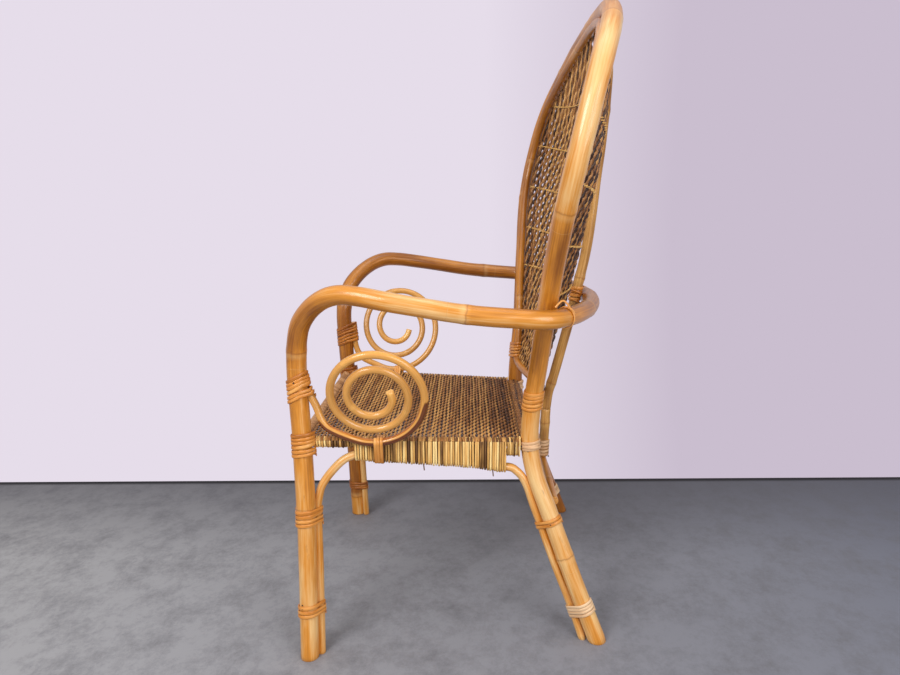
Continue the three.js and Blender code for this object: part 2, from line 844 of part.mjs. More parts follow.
const leftScroll = scrollPath(leftScrollReach, leftScrollRise, leftScrollRadius, leftScrollSweep);
const rightScroll = scrollPath(rightScrollReach, rightScrollRise, rightScrollRadius, rightScrollSweep);
add('left_scroll', cane(leftScroll, scrollRadius, 6), colours.cane);
add('right_scroll', mirroredBody(cane(rightScroll, scrollRadius, 6)), colours.cane);

// Cross bar between the rear legs, and the short strut that stands on it
const barLeg = crossingAt(hoopHalf, 'z', crossBarHeight + crossBarRadius).point;
const barReach = legSpacing + crossBarSetback;
const barHalf = barLeg.x - hoopRadius - gap;
add('rear_cross_bar', crossCane(barHalf, barReach, crossBarHeight, crossBarRadius), colours.cane);
const strutFoot = strutPath[0];
const lowerStrutTop = place(0, strutFoot.y, strutFoot.z - gap);
const lowerStrutBottom = place(0, barReach, crossBarHeight + crossBarRadius + gap);
const lowerStrut = [lowerStrutBottom, lowerStrutTop];
add('lower_strut', cane(lowerStrut, strutRadius, 10, true, true), colours.aged, 0.45);

// Woven back panel: its rim lies behind the sides of the inner hoop, and its middle is dished
// back towards the strut
const lashNotchHalf = 4 * strandPitch;
const panelMiddleShare = 0.6;
const panelDishPower = 3;
const panelRingCount = 6;
function panelBody() {
  const edge = [...innerHalf, ...mirrored(innerHalf).reverse().slice(1, -1)];
  const half = panelThickness / 2;
  const widest = Math.max(...innerHalf.map((point) => point.x));
  const rim = edge.map((point, index) => {
    const before = edge[(index + edge.length - 1) % edge.length];
    const after = edge[(index + 1) % edge.length];
    const tangent = after.clone().sub(before);
    const inward = place(tangent.z, 0, -tangent.x).normalize();
    const atLashing = Math.abs(point.z - hoopLashHeight) < lashNotchHalf;
    const clear = atLashing ? innerHoopRadius * cornerShare + strandReach : innerHoopRadius;
    const turn = panelRimTurn * (Math.abs(point.x) / widest);
    const spacing = clear + gap + half * Math.sin(turn);
    const shifted = point.clone().addScaledVector(inward, spacing * Math.cos(turn));
    return shifted.add(place(0, spacing * Math.sin(turn), 0));
  });
  const middleHeight = THREE.MathUtils.lerp(innerBottom.z, innerTop.z, panelMiddleShare);
  const deepAt = (height) => {
    const share = (height - innerBottom.z) / (innerTop.z - innerBottom.z);
    return THREE.MathUtils.lerp(innerBottom.y, innerTop.y, share) + panelDishDepth;
  };
  const rings = [];
  for (let ring = 0; ring < panelRingCount; ring += 1) {
    const scale = 1 - ring / panelRingCount;
    rings.push(rim.map((point) => {
      const height = middleHeight + scale * (point.z - middleHeight);
      const reach = THREE.MathUtils.lerp(deepAt(height), point.y, scale ** panelDishPower);
      return place(scale * point.x, reach, height);
    }));
  }
  const centre = place(0, deepAt(middleHeight), middleHeight);
  const fan = (ring, tip) => ring.map((point, index) => [point, ring[(index + 1) % ring.length], tip]);
  const moved = (point, shift) => place(point.x, point.y + shift, point.z);
  const sheet = (shift) => {
    const shifted = rings.map((ring) => ring.map((point) => moved(point, shift)));
    const last = shifted[shifted.length - 1];
    return { rings: shifted, faces: [...tubeFaces(shifted), ...fan(last, moved(centre, shift))] };
  };
  const front = sheet(-half);
  const back = sheet(half);
  const rimFaces = tubeFaces([front.rings[0], back.rings[0]]);
  return bodyOf([...reversedFaces(front.faces), ...back.faces, ...rimFaces]);
}
add('back_panel', panelBody(), colours.weave, 0.75);

// Lashings on the front legs
const armCane = { points: armHalf, radius: armRadius };
const hoopCane = { points: hoopHalf, radius: hoopRadius };
const braceCane = { points: bracePoints, radius: braceRadius };
const scrollCane = { points: leftScroll, radius: scrollRadius };
const innerCane = { points: innerHalf, radius: innerHoopRadius };
const rightScrollCane = { points: rightScroll, radius: scrollRadius };
function legLashing(name, held, height, turns, colour, width, pitch) {
  const station = crossingAt(held[0].points, 'z', height);
  addPair(name, lashing(name, held, station, turns, width, pitch), colour, 0.5);
}
const scrollStation = crossingAt(armHalf, 'z', scrollLashHeight);
const leftLash = lashing('left_scroll_lashing', [armCane, scrollCane], scrollStation, 6);
const rightLash = lashing('right_scroll_lashing', [armCane, rightScrollCane], scrollStation, 6);
add('left_scroll_lashing', leftLash, colours.lash, 0.5);
add('right_scroll_lashing', mirroredBody(rightLash), colours.lash, 0.5);
legLashing('front_seat_lashing', [armCane], frontSeatLashHeight, 6, colours.lash);
legLashing('front_brace_lashing', [armCane, braceCane], frontBraceLashHeight, 5, colours.lash);
legLashing('front_low_lashing', [armCane, braceCane], frontLowLashHeight, 3, colours.lash);

// Lashings on the rear legs and the back
legLashing('hoop_lashing', [hoopCane, innerCane], hoopLashHeight, 5, colours.lash);
legLashing('rear_seat_lashing', [hoopCane], rearSeatLashHeight, 3, colours.pale);
legLashing('rear_brace_lashing', [hoopCane, braceCane], rearBraceLashHeight, 2, colours.lash);
const lowHeld = [hoopCane, braceCane];
legLashing('rear_low_lashing', lowHeld, rearLowLashHeight, 4, colours.pale, fineWidth, finePitch);

// Straps round the arm behind the hoop, and round each scroll's foot and the side wrap
const armBack = { points: armHalf.slice(Math.ceil(armHalf.length / 3)), radius: armRadius };
const hoopAtArm = crossingAt(hoopHalf, 'z', armCrossHeight).point;
const strapStation = crossingAt(armBack.points, 'y', hoopAtArm.y + armStrapSetback);
addPair('arm_strap', lashing('arm_strap', [armBack], strapStation, 1.4), colours.lash, 0.5);

function scrollStrap(name, scroll, reach) {
  const wrapGrowth = gap + wrapThickness;
  const station = crossingAt(sideRailEnds, 'y', reach);
  const highest = station.point.z + scrollFootRise + scrollInnerRadius;
  const lowScroll = scroll.filter((point) => point.z < highest);
  const braceMiddle = bracePoints.filter((point) => point.z > braceRearRise);
  const held = [
    { points: sideRailEnds, radius: railRadius + wrapGrowth },
    { points: braceMiddle, radius: braceRadius + wrapGrowth },
    { points: lowScroll, radius: scrollRadius },
  ];
  return lashing(name, held, station, 2, strapWidth, strapPitch);
}
const leftStrap = scrollStrap('left_scroll_strap', leftScroll, leftScrollReach);
add('left_scroll_strap', leftStrap, colours.lash, 0.5);
const rightStrap = scrollStrap('right_scroll_strap', rightScroll, rightScrollReach);
add('right_scroll_strap', mirroredBody(rightStrap), colours.lash, 0.5);

// Lashings on the two struts
function strutLashing(name, points, height, turns) {
  const station = crossingAt(points, 'z', height);
  add(name, lashing(name, [{ points, radius: strutRadius }], station, turns), colours.pale, 0.5);
}
strutLashing('strut_lashing', strutPath, bowHeight, 4);
strutLashing('strut_foot_lashing', lowerStrut, crossBarHeight + footLashRise, 4);

// The middle of the chair's outline in plan stands over the origin.
const box = new THREE.Box3().setFromObject(chair);
chair.position.set(-(box.min.x + box.max.x) / 2, -(box.min.y + box.max.y) / 2, -box.min.z);

export default chair;
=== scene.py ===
import math
import random

import bmesh
import bpy
import numpy as np
from mathutils import Matrix, Vector


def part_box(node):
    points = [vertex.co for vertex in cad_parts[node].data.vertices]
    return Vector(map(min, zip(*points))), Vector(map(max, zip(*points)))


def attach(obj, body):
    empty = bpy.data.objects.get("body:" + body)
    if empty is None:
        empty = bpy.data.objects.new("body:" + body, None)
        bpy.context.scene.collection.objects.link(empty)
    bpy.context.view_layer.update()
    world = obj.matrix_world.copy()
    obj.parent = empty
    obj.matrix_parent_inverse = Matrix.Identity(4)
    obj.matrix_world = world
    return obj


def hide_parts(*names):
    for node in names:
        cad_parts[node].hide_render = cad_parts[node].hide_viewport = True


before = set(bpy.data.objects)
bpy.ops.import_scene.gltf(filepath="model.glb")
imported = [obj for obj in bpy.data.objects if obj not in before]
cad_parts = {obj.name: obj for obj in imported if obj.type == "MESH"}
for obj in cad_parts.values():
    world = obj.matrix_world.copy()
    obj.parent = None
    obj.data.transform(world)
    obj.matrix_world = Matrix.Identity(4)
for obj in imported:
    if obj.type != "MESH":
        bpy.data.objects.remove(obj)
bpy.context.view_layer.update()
scene = bpy.context.scene
scene.view_settings.view_transform = "Standard"

# Camera
# It stands at the sitter's left, a little above the arms, and looks slightly down at the chair.
# Its place and lens are those that put the chair's own points where the photo shows them.
eye = Vector((1.434, 0.0235, 0.821))
yaw, pitch_down, roll = (math.radians(angle) for angle in (0.71, 11.66, -1.24))
focal_length = 28.0
frame_shift = -0.0351
level_share = math.cos(pitch_down)
forward = Vector((-math.cos(yaw) * level_share, math.sin(yaw) * level_share, -math.sin(pitch_down)))
level_right = Vector((math.sin(yaw), math.cos(yaw), 0))
level_up = level_right.cross(forward)
right = level_right * math.cos(roll) + level_up * math.sin(roll)
up = level_up * math.cos(roll) - level_right * math.sin(roll)
camera_data = bpy.data.cameras.new("camera")
camera_data.lens = focal_length
camera_data.sensor_width = 36.0
camera_data.shift_x = frame_shift
camera = bpy.data.objects.new("camera", camera_data)
camera.matrix_world = Matrix.Translation(eye) @ Matrix((right, up, -forward)).transposed().to_4x4()
scene.collection.objects.link(camera)
scene.camera = camera


# Floor, backdrop and lamps
# A plain grey floor with a dark joint at its far edge, and a pale room colour beyond it. Both are
# painted darker towards the rear, and the floor also near its far edge: painted shade. Of three soft
# round lamps the strongest stands high at the picture's left, a wider one at its right, and a weak
# one overhead.
def tone(red, green, blue):
    """A colour written in display values, as the linear colour that shaders take."""
    def linear(value):
        share = value / 255
        return share / 12.92 if share <= 0.04045 else ((share + 0.055) / 1.055) ** 2.4
    return (linear(red), linear(green), linear(blue), 1.0)


class Wire:
    """A node's output; sums, differences and products of wires add their Math nodes."""

    def __init__(self, socket):
        self.socket = socket

    def node(self, kind, settings, inputs, output=0):
        """Adds any node: its settings first, then the values or wires of its inputs."""
        tree = self.socket.id_data
        made = tree.nodes.new(kind)
        for setting, value in settings.items():
            if setting == "stops":
                ramp = made.color_ramp.elements
                while len(ramp) < len(value):
                    ramp.new(1.0)
                for stop, (position, colour) in zip(ramp, value):
                    stop.position, stop.color = position, colour
            else:
                setattr(made, setting, value)
        for key, value in inputs.items():
            if isinstance(value, Wire):
                tree.links.new(value.socket, made.inputs[key])
            else:
                made.inputs[key].default_value = value
        return Wire(made.outputs[output])

    def math(self, operation, *others, clamp=False):
        """Adds a Math node that works on this wire and any others."""
        values = dict(enumerate((self, *others)))
        return self.node("ShaderNodeMath", {"operation": operation, "use_clamp": clamp}, values)

    def __add__(self, other):
        return self.math("ADD", other)

    def __sub__(self, other):
        return self.math("SUBTRACT", other)

    def __rsub__(self, other):
        return self.node("ShaderNodeMath", {"operation": "SUBTRACT"}, {0: other, 1: self})

    def __mul__(self, other):
        return self.math("MULTIPLY", other)

    __radd__ = __add__
    __rmul__ = __mul__

    def held(self):
        """The value kept between 0 and 1."""
        return self.math("ADD", 0.0, clamp=True)

    def mixed(self, low, high):
        """The colour between two, with this value as the share of the second."""
        return self.node("ShaderNodeMix", {"data_type": "RGBA"}, {0: self, 6: low, 7: high}, 2)


def new_finish(name):
    """A material whose nodes start at the piece's own coordinates; its shader and that wire."""
    material = bpy.data.materials.new(name)
    material.use_nodes = True
    shader = material.node_tree.nodes["Principled BSDF"]
    start = Wire(material.node_tree.nodes.new("ShaderNodeTexCoord").outputs["Object"])
    return material, shader, start


def feed(shader, **wires):
    """Links wires to a shader's inputs; an underscore stands for the space in an input's name."""
    for name, wire in wires.items():
        socket = shader.inputs[name.replace("_", " ")]
        shader.id_data.links.new(wire.socket, socket)


floor_tone = tone(170, 170, 174)
floor_painted_shade = tone(108, 112, 128)
floor_dust = tone(104, 104, 110)
floor_painted_shadow = tone(86, 86, 96)
joint_tone = tone(12, 12, 18)
floor_edge = Vector((-0.491, 0.0, 0.0))
floor_turn = math.radians(-3.0)
floor_depth, floor_width = 5.0, 6.8
floor_piece = bmesh.new()
bmesh.ops.create_grid(floor_piece, x_segments=12, y_segments=12, size=0.5)
floor_size = Matrix.Diagonal((floor_depth, floor_width, 1, 1))
floor_ahead = Matrix.Translation((floor_depth / 2, 0, 0))
floor_place = Matrix.Translation(floor_edge) @ Matrix.Rotation(floor_turn, 4, "Z")
bmesh.ops.transform(floor_piece, matrix=floor_place @ floor_ahead @ floor_size, verts=floor_piece.verts)
floor_mesh = bpy.data.meshes.new("floor")
floor_piece.to_mesh(floor_mesh)
floor_piece.free()
floor = bpy.data.objects.new("floor", floor_mesh)
scene.collection.objects.link(floor)
floor_finish, floor_shader, floor_start = new_finish("floor")
dust = floor_start.node("ShaderNodeTexNoise", {},
                        {"Vector": floor_start, "Scale": 9.0, "Detail": 14.0, "Roughness": 0.84})
floor_back = floor_start.node("ShaderNodeSeparateXYZ", {}, {0: floor_start}, 1)
floor_ahead_by = floor_start.node("ShaderNodeSeparateXYZ", {}, {0: floor_start}, 0) - floor_edge.x
from_edge = floor_ahead_by * math.cos(floor_turn) + floor_back * math.sin(floor_turn)
# Painted shade: the floor's colour turns darker towards the rear.
floor_painted_falloff = (floor_back * 0.42 + 0.5).held().mixed(floor_tone, floor_painted_shade)
floor_dusty = ((dust - 0.45) * 3.6).held().mixed(floor_painted_falloff, floor_dust)
# Painted shadow: the floor is painted darker over the last 45 cm before its far edge, under and behind the
# chair.
floor_painted_shadowed = ((1 - from_edge * 2.2).held() * 0.7).mixed(floor_dusty, floor_painted_shadow)
# The joint is full for 13 mm from the edge and fades over the next 13 mm.
joint = (2.0 - from_edge * 75.0).held()
feed(floor_shader, Base_Color=joint.mixed(floor_painted_shadowed, joint_tone))
floor_shader.inputs["Roughness"].default_value = 0.75
floor_mesh.materials.append(floor_finish)

room_tone = tone(230, 221, 234)
room_painted_shade = tone(202, 190, 207)
ambient = tone(214, 210, 206)
room_strength = 0.55
room = bpy.data.worlds.new("room")
room.use_nodes = True
scene.world = room
room_light = room.node_tree.nodes["Background"]
room_path = room.node_tree.nodes.new("ShaderNodeLightPath")
room_seen = Wire(room_path.outputs["Is Glossy Ray"]) * 0.6 + Wire(room_path.outputs["Is Camera Ray"])
room_way = Wire(room.node_tree.nodes.new("ShaderNodeTexCoord").outputs["Generated"])
room_parts = room_way.node("ShaderNodeSeparateXYZ", {}, {0: room_way}, 1)
# Painted shade: the room colour seen behind the chair turns darker towards the rear.
room_painted_falloff = (room_parts * 4.0 - 0.1).held()
feed(room_light, Color=room_seen.mixed(ambient, room_painted_falloff.mixed(room_tone, room_painted_shade)))
feed(room_light, Strength=room_seen * (1 - room_strength) + room_strength)

lamp_aim = Vector((0, 0, 0.6))
lamps = {
    "key": ((2.1, -1.5, 2.2), 1.4, 53.0, (1.0, 0.98, 0.96)),
    "fill": ((2.3, 1.5, 1.4), 1.8, 43.0, (1.0, 0.98, 0.96)),
    "overhead": ((0.3, 0.0, 2.9), 1.8, 14.0, (1.0, 0.99, 0.98)),
}
for lamp_name, (lamp_place, lamp_size, lamp_power, lamp_colour) in lamps.items():
    lamp_data = bpy.data.lights.new(lamp_name, "AREA")
    lamp_data.shape = "DISK"
    lamp_data.size = lamp_size
    lamp_data.energy = lamp_power
    lamp_data.color = lamp_colour
    lamp = bpy.data.objects.new(lamp_name, lamp_data)
    lamp.location = lamp_place
    lamp.rotation_euler = (lamp_aim - lamp.location).to_track_quat("-Z", "Y").to_euler()
    scene.collection.objects.link(lamp)


# Outer hoop
# One thick rattan cane makes both rear legs and the balloon outline of the back. It is bent by
# steam, lacquered golden, and shows its growth nodes as faint rings with a slight swelling.
def cane_line(node, sides, near):
    """Centres of the rings of a cane's body, from the end that is nearest to a point."""
    body = bmesh.new()
    body.from_mesh(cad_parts[node].data)
    bmesh.ops.remove_doubles(body, verts=body.verts, dist=1e-6)
    bmesh.ops.dissolve_limit(body, angle_limit=1e-3, verts=body.verts, edges=body.edges)
    ends = [face for face in body.faces if len(face.verts) == sides]
    end = min(ends, key=lambda face: (face.calc_center_median() - Vector(near)).length)
    centres = ring_centres(set(end.verts))
    body.free()
    return centres


def ring_centres(ring, allowed=lambda vert: True):
    """Centres of the rings that follow each other along a body, from a first ring of points."""
    seen = set()
    centres = []
    while ring:
        centres.append(sum((vert.co for vert in ring), Vector()) / len(ring))
        seen |= ring
        beside = {edge.other_vert(vert) for vert in ring for edge in vert.link_edges}
        ring = {vert for vert in beside - seen if allowed(vert)}
    return np.array([tuple(centre) for centre in centres])


def lengths_along(line):
    """The length of a line up to each of its points."""
    steps = np.linalg.norm(np.diff(line, axis=0), axis=1)
    return np.concatenate([[0.0], np.cumsum(steps)])


straight_stretch = 0.09


def smoothed(points, step):
    """A smooth line through points, in even steps, and the length up to each of its points. Long
    straight stretches stay straight."""
    parts = [points[:1]]
    for here, after in zip(points[:-1], points[1:]):
        pieces = max(1, int(np.linalg.norm(after - here) / straight_stretch) * 6)
        shares = np.arange(1, pieces + 1)[:, None] / pieces
        parts.append(here + (after - here) * shares)
    points = np.concatenate(parts)
    knots = lengths_along(points)
    slopes = np.gradient(points, knots, axis=0)
    count = max(2, int(round(knots[-1] / step)) + 1)
    lengths = np.linspace(0.0, knots[-1], count)
    index = np.clip(np.searchsorted(knots, lengths, side="right") - 1, 0, len(points) - 2)
    span = (knots[index + 1] - knots[index])[:, None]
    share = ((lengths - knots[index])[:, None]) / span
    ahead = share ** 2 * (3 - 2 * share)
    line = points[index] * (1 - ahead) + points[index + 1] * ahead
    line += slopes[index] * span * share * (1 - share) ** 2
    line -= slopes[index + 1] * span * share ** 2 * (1 - share)
    return line, lengths


def directions(line):
    """The direction of a line at each of its points."""
    along = np.gradient(line, axis=0)
    return along / np.linalg.norm(along, axis=1)[:, None]


def carried_normals(line, first):
    """Normals of a line that turn with it and never spin."""
    along = directions(line)
    normals = np.empty_like(line)
    normal = np.array(first, float)
    for index, tangent in enumerate(along):
        normal = normal - tangent * normal.dot(tangent)
        normal /= np.linalg.norm(normal)
        normals[index] = normal
    return normals


rods = {}


def straight_rod(rings, sides, squareness):
    """A closed rod of unit rings, one step apart, which the pieces are bent from."""
    key = (rings, sides, squareness)
    if key not in rods:
        rod = bmesh.new()
        bmesh.ops.create_circle(rod, cap_ends=False, segments=sides, radius=1.0)
        for vert in rod.verts:
            for axis in (0, 1):
                vert.co[axis] = math.copysign(abs(vert.co[axis]) ** squareness, vert.co[axis])
        ends = rod.edges[:]
        spun = bmesh.ops.spin(rod, geom=rod.verts[:] + ends, axis=(0, 0, 1), dvec=(0, 0, 1),
                              steps=rings - 1)
        ends += [item for item in spun["geom_last"] if isinstance(item, bmesh.types.BMEdge)]
        bmesh.ops.edgeloop_fill(rod, edges=ends)
        bmesh.ops.recalc_face_normals(rod, faces=rod.faces)
        for edge in ends:
            edge.smooth = False
        for face in rod.faces:
            face.smooth = True
        mesh = bpy.data.meshes.new("rod")
        rod.to_mesh(mesh)
        rod.free()
        rods[key] = mesh
    return rods[key]


no_node_near = 0.03


def bend(piece, line, out, width, thickness, sides=8, squareness=1.0, node=None, shade=0.5, start=0.0,
         level=False, bark=None):
    """Adds a rod bent along a line to a piece. width and thickness are its half sizes, out the
    side that its thickness faces; the straight rod's own coordinates stay as an attribute."""
    count = len(line)
    mesh = straight_rod(count, sides, squareness).copy()
    unit = np.empty(len(mesh.vertices) * 3)
    mesh.vertices.foreach_get("co", unit)
    unit = unit.reshape(-1, 3)
    ring = np.rint(unit[:, 2]).astype(int)
    along = directions(line)
    if level:
        for end in (0, 1, -2, -1):
            along[end] = (0, 0, math.copysign(1, along[end][2]))
    out = out - along * np.sum(out * along, axis=1)[:, None]
    out = out / np.linalg.norm(out, axis=1)[:, None]
    side = np.cross(out, along)
    across = unit[:, 0] * np.broadcast_to(width, count)[ring]
    outward = unit[:, 1] * np.broadcast_to(thickness, count)[ring]
    offset = side[ring] * across[:, None] + out[ring] * outward[:, None]
    mesh.vertices.foreach_set("co", (line[ring] + offset).ravel())
    lengths = start + lengths_along(line)
    straight = np.stack([across, outward, lengths[ring]], axis=1)
    mesh.attributes.new("straight", "FLOAT_VECTOR", "POINT").data.foreach_set("vector", straight.ravel())
    node = np.full(count, no_node_near) if node is None else node
    values = {"node": node[ring], "shade": np.broadcast_to(shade, count)[ring]}
    if bark is not None:
        values["bark"] = np.sum(offset * bark[ring], axis=1) / np.linalg.norm(offset, axis=1)
    for value_name, value in values.items():
        attribute = mesh.attributes.new(value_name, "FLOAT", "POINT")
        attribute.data.foreach_set("value", value.astype(float))
    piece.from_mesh(mesh)
    bpy.data.meshes.remove(mesh)


def finished(name, piece, material, slot, *nodes):
    """Turns a piece's bmesh into its object, which rides on the chair and stands for CAD nodes."""
    mesh = bpy.data.meshes.new(name)
    piece.to_mesh(mesh)
    piece.free()
    mesh.materials.append(material)
    made = bpy.data.objects.new(name, mesh)
    scene.collection.objects.link(made)
    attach(made, "root")
    if nodes:
        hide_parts(*nodes)


def hump(away, reach):
    """A smooth hump: 1 where away is nothing, and almost gone at twice its reach."""
    return np.exp(-(away / reach) ** 2)


node_reach = 0.007
end_narrowing = 0.93
wander_waves = (0.09, 0.23, 0.57)


def cane(piece, points, radius, nodes=(), swell=0.05, sides=18, step=0.006, wander=0.0, seed=0,
         tones=((0.0, 0.5),), level=False, bark=None, fuller=((0.0, 1.0),)):
    """Adds a cane with growth nodes at lengths along it and slightly rounded cut ends. tones gives
    its shade at lengths, fuller its girth, bark a direction at each point that the bark faces."""
    line, lengths = smoothed(points, step)
    normals = carried_normals(line, (0.31, 0.62, 0.72))
    radii = radius * np.interp(lengths, *zip(*fuller))
    far = np.full(len(line), no_node_near)
    for at in nodes:
        away = lengths - at
        radii = radii + radius * swell * hump(away, node_reach)
        far = np.where(np.abs(away) < np.abs(far), away, far)
    if wander:
        chance = random.Random(seed)
        for wave in wander_waves:
            radii = radii * (1 + wander * np.sin(2 * math.pi * (lengths / wave + chance.random())))
    shades = np.interp(lengths, *zip(*tones))
    along = directions(line)
    rounding = 0.06 * radius
    line = np.concatenate([line[:1], line[:1] + along[:1] * rounding, line[1:-1],
                           line[-1:] - along[-1:] * rounding, line[-1:]])

    def ends_doubled(values):
        return np.concatenate([values[:1], values, values[-1:]])
    radii = ends_doubled(radii)
    radii[[0, -1]] *= end_narrowing
    faced = None if bark is None else ends_doubled(bark(line[1:-1]))
    bend(piece, line, ends_doubled(normals), radii, radii, sides, node=ends_doubled(far),
         shade=ends_doubled(shades), level=level, bark=faced)


def carried(start, attribute, output="Fac"):
    """What a bent rod carries at its points: its straight coordinates, node, shade or bark."""
    return start.node("ShaderNodeAttribute", {"attribute_name": attribute}, {}, output)


def grain(straight, across, along, detail, roughness=0.5):
    """Noise on a rod's straight coordinates, with one scale across the rod and one along it."""
    scaled = straight.node("ShaderNodeMapping", {}, {"Vector": straight, "Scale": (across, across, along)})
    return straight.node("ShaderNodeTexNoise", {}, {"Vector": scaled, "Scale": 1.0, "Detail": detail,
                                                    "Roughness": roughness})


scar_tone = tone(112, 62, 24)
ring_tone = tone(138, 76, 28)
bark_deep, bark_body = tone(66, 28, 12), tone(122, 62, 32)


def cane_finish(name, pale, body, deep, gloss, streak, coat=0.0, barked=False):
    """Lacquered rattan: fibres and slow changes of colour along the cane, rings at its nodes."""
    material, shader, start = new_finish(name)
    straight = carried(start, "straight", "Vector")
    fibre = grain(straight, 420.0, 9.0, 4.0, 0.62)
    drift = grain(straight, 50.0, 8.0, 3.0)
    spot = grain(straight, 130.0, 34.0, 3.0)
    mottle = (fibre - 0.5) * streak + (drift - 0.5) * 1.1 + carried(start, "shade")
    stops = [(0.1, deep), (0.5, body), (0.9, pale)]
    colour = start.node("ShaderNodeValToRGB", {"stops": stops}, {0: mottle})
    scar = ((spot - 0.69) * 8.0).held() * 0.5
    ragged = carried(start, "node") + (spot - 0.5) * 0.006
    ring = (1 - ragged.math("ABSOLUTE") * 420.0).held()
    skirt = (1 - (ragged + 0.006).math("ABSOLUTE") * 120.0).held()
    scarred = scar.mixed(colour, scar_tone)
    skirted = (skirt * 0.25).mixed(scarred, pale)
    seen = (ring * 0.5).mixed(skirted, ring_tone)
    if barked:
        edge = carried(start, "bark") + (fibre - 0.5) * 0.5
        pith = ((edge + 0.45) * 7.0).held() * (1 - (edge - 0.1) * 7.0).held() * 0.5
        cover = ((edge - 0.12) * 9.0).held() * 0.92
        seen = cover.mixed(pith.mixed(seen, pale), fibre.mixed(bark_deep, bark_body))
    relief = start.node("ShaderNodeBump", {}, {"Height": fibre * 0.12 + ring * -0.6, "Strength": 0.35,
                                               "Distance": 0.0004})
    feed(shader, Base_Color=seen, Roughness=fibre * 0.16 + gloss, Normal=relief)
    shader.inputs["Specular IOR Level"].default_value = 0.45
    shader.inputs["Coat Weight"].default_value = coat
    shader.inputs["Coat Roughness"].default_value = 0.12
    return material


hoop_radius = 0.0165
hoop_nodes = [0.17, 0.864, 1.21, 1.58, 1.8, 2.16, 2.48, 2.78]
# The shade changes at some nodes, as the cane's own colour does, and falls along the right half, away from
# the lamps, as painted shade.
hoop_tones = ((0.0, 0.55), (0.16, 0.7), (0.24, 0.8), (0.5, 0.56), (0.62, 0.38), (0.83, 0.34),
              (0.89, 0.7), (1.15, 0.68), (1.4, 0.4), (1.57, 0.34), (2.0, 0.32), (2.5, 0.26),
              (2.6, 0.2), (3.04, 0.16))
golden_cane = cane_finish("golden_cane", tone(240, 200, 138), tone(214, 140, 46), tone(148, 86, 22),
                          gloss=0.28, streak=0.7, coat=0.35)
hoop_points = cane_line("back_hoop", 12, (0.27, 0.24, 0))
hoop = bmesh.new()
cane(hoop, hoop_points, hoop_radius, hoop_nodes, sides=22, wander=0.006, seed=3, tones=hoop_tones,
     level=True)
finished("outer_hoop", hoop, golden_cane, "cane", "back_hoop")


# Inner hoop
# A thinner cane nested inside the outer one and closed at its foot, where its two ends are butted
# and nailed behind the waist. The weave of the back hangs in it.
inner_radius = 0.009
inner_nodes = [0.34, 0.71, 1.1, 1.46, 1.84]
foot_level, foot_share = 0.44, 0.45
inner_forward, forward_from, forward_over = 0.005, 0.45, 0.15
butt_gap = np.array([0.0004, 0.0, 0.0])
body = bmesh.new()
body.from_mesh(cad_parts["inner_hoop"].data)
bmesh.ops.remove_doubles(body, verts=body.verts, dist=1e-6)
inner_top = {vert for vert in body.verts if abs(vert.co.x) < 1e-4 and vert.co.z > 0.9}
inner_left = ring_centres(inner_top, lambda vert: vert.co.x > -1e-4)
body.free()
# The foot is drawn higher than the solid's, and all above it a little further forward.
foot_drop = np.maximum(foot_level - inner_left[:, 2], 0)
inner_left[:, 2] += foot_drop * (1 - foot_share)
inner_right = inner_left[::-1] * np.array([-1.0, 1.0, 1.0])
inner_loop = np.concatenate([inner_right[:-1], inner_left])
inner_loop[:, 1] -= inner_forward * np.clip((inner_loop[:, 2] - forward_from) / forward_over, 0, 1)
inner_loop[0] -= butt_gap
inner_loop[-1] += butt_gap
inner = bmesh.new()
cane(inner, inner_loop, inner_radius, inner_nodes, swell=0.06, sides=14, wander=0.01, seed=5,
     tones=((0.0, 0.3),))
finished("inner_hoop_cane", inner, golden_cane, "cane", "inner_hoop")


# Arm rail
# One thick cane makes both front legs, the arms and the bow that runs behind the back. It is bent
# tightly above the seat and held to the hoop on each side. Its left leg bows by 2 or 3 mm.
arm_radius = 0.016
arm_nodes = [0.276, 0.563, 0.946, 1.26, 1.58, 1.9, 2.321, 2.63, 2.83]
# The shade changes at some nodes, as the cane's own colour does, and falls from the left arm round the bow
# to the right leg, away from the lamps, as painted shade.
arm_tones = ((0.0, 0.5), (0.12, 0.68), (0.27, 0.6), (0.28, 0.5), (0.4, 0.46), (0.54, 0.46),
             (0.59, 0.3), (0.68, 0.25), (0.78, 0.5), (0.85, 0.66), (0.94, 0.74), (0.955, 0.5),
             (1.1, 0.42), (1.25, 0.36), (1.5, 0.28), (1.9, 0.2), (2.31, 0.22), (2.33, 0.16),
             (2.6, 0.14), (2.82, 0.12), (2.835, 0.5), (2.88, 0.5))
arm_girth = ((0.0, 1.02), (0.25, 1.03), (0.3, 1.08), (0.6, 1.08), (0.75, 1.0), (2.1, 1.0),
             (2.3, 1.08), (2.88, 1.1))
bow_heights = (0.0, 0.3, 0.42, 0.5, 0.58)
bow_shifts = (0.0020, 0.0026, 0.001, -0.0016, 0.0)
arm_points = smoothed(cane_line("arm_rail", 12, (0.3, -0.29, 0)), 0.006)[0]
left_leg = (arm_points[:, 0] > 0) & (arm_points[:, 1] < -0.15)
arm_points[:, 1] += np.where(left_leg, np.interp(arm_points[:, 2], bow_heights, bow_shifts), 0)
arm = bmesh.new()
cane(arm, arm_points, arm_radius, arm_nodes, swell=0.045, sides=22, wander=0.006, seed=8,
     tones=arm_tones, level=True, fuller=arm_girth)
finished("arm_rail_cane", arm, golden_cane, "cane", "arm_rail")


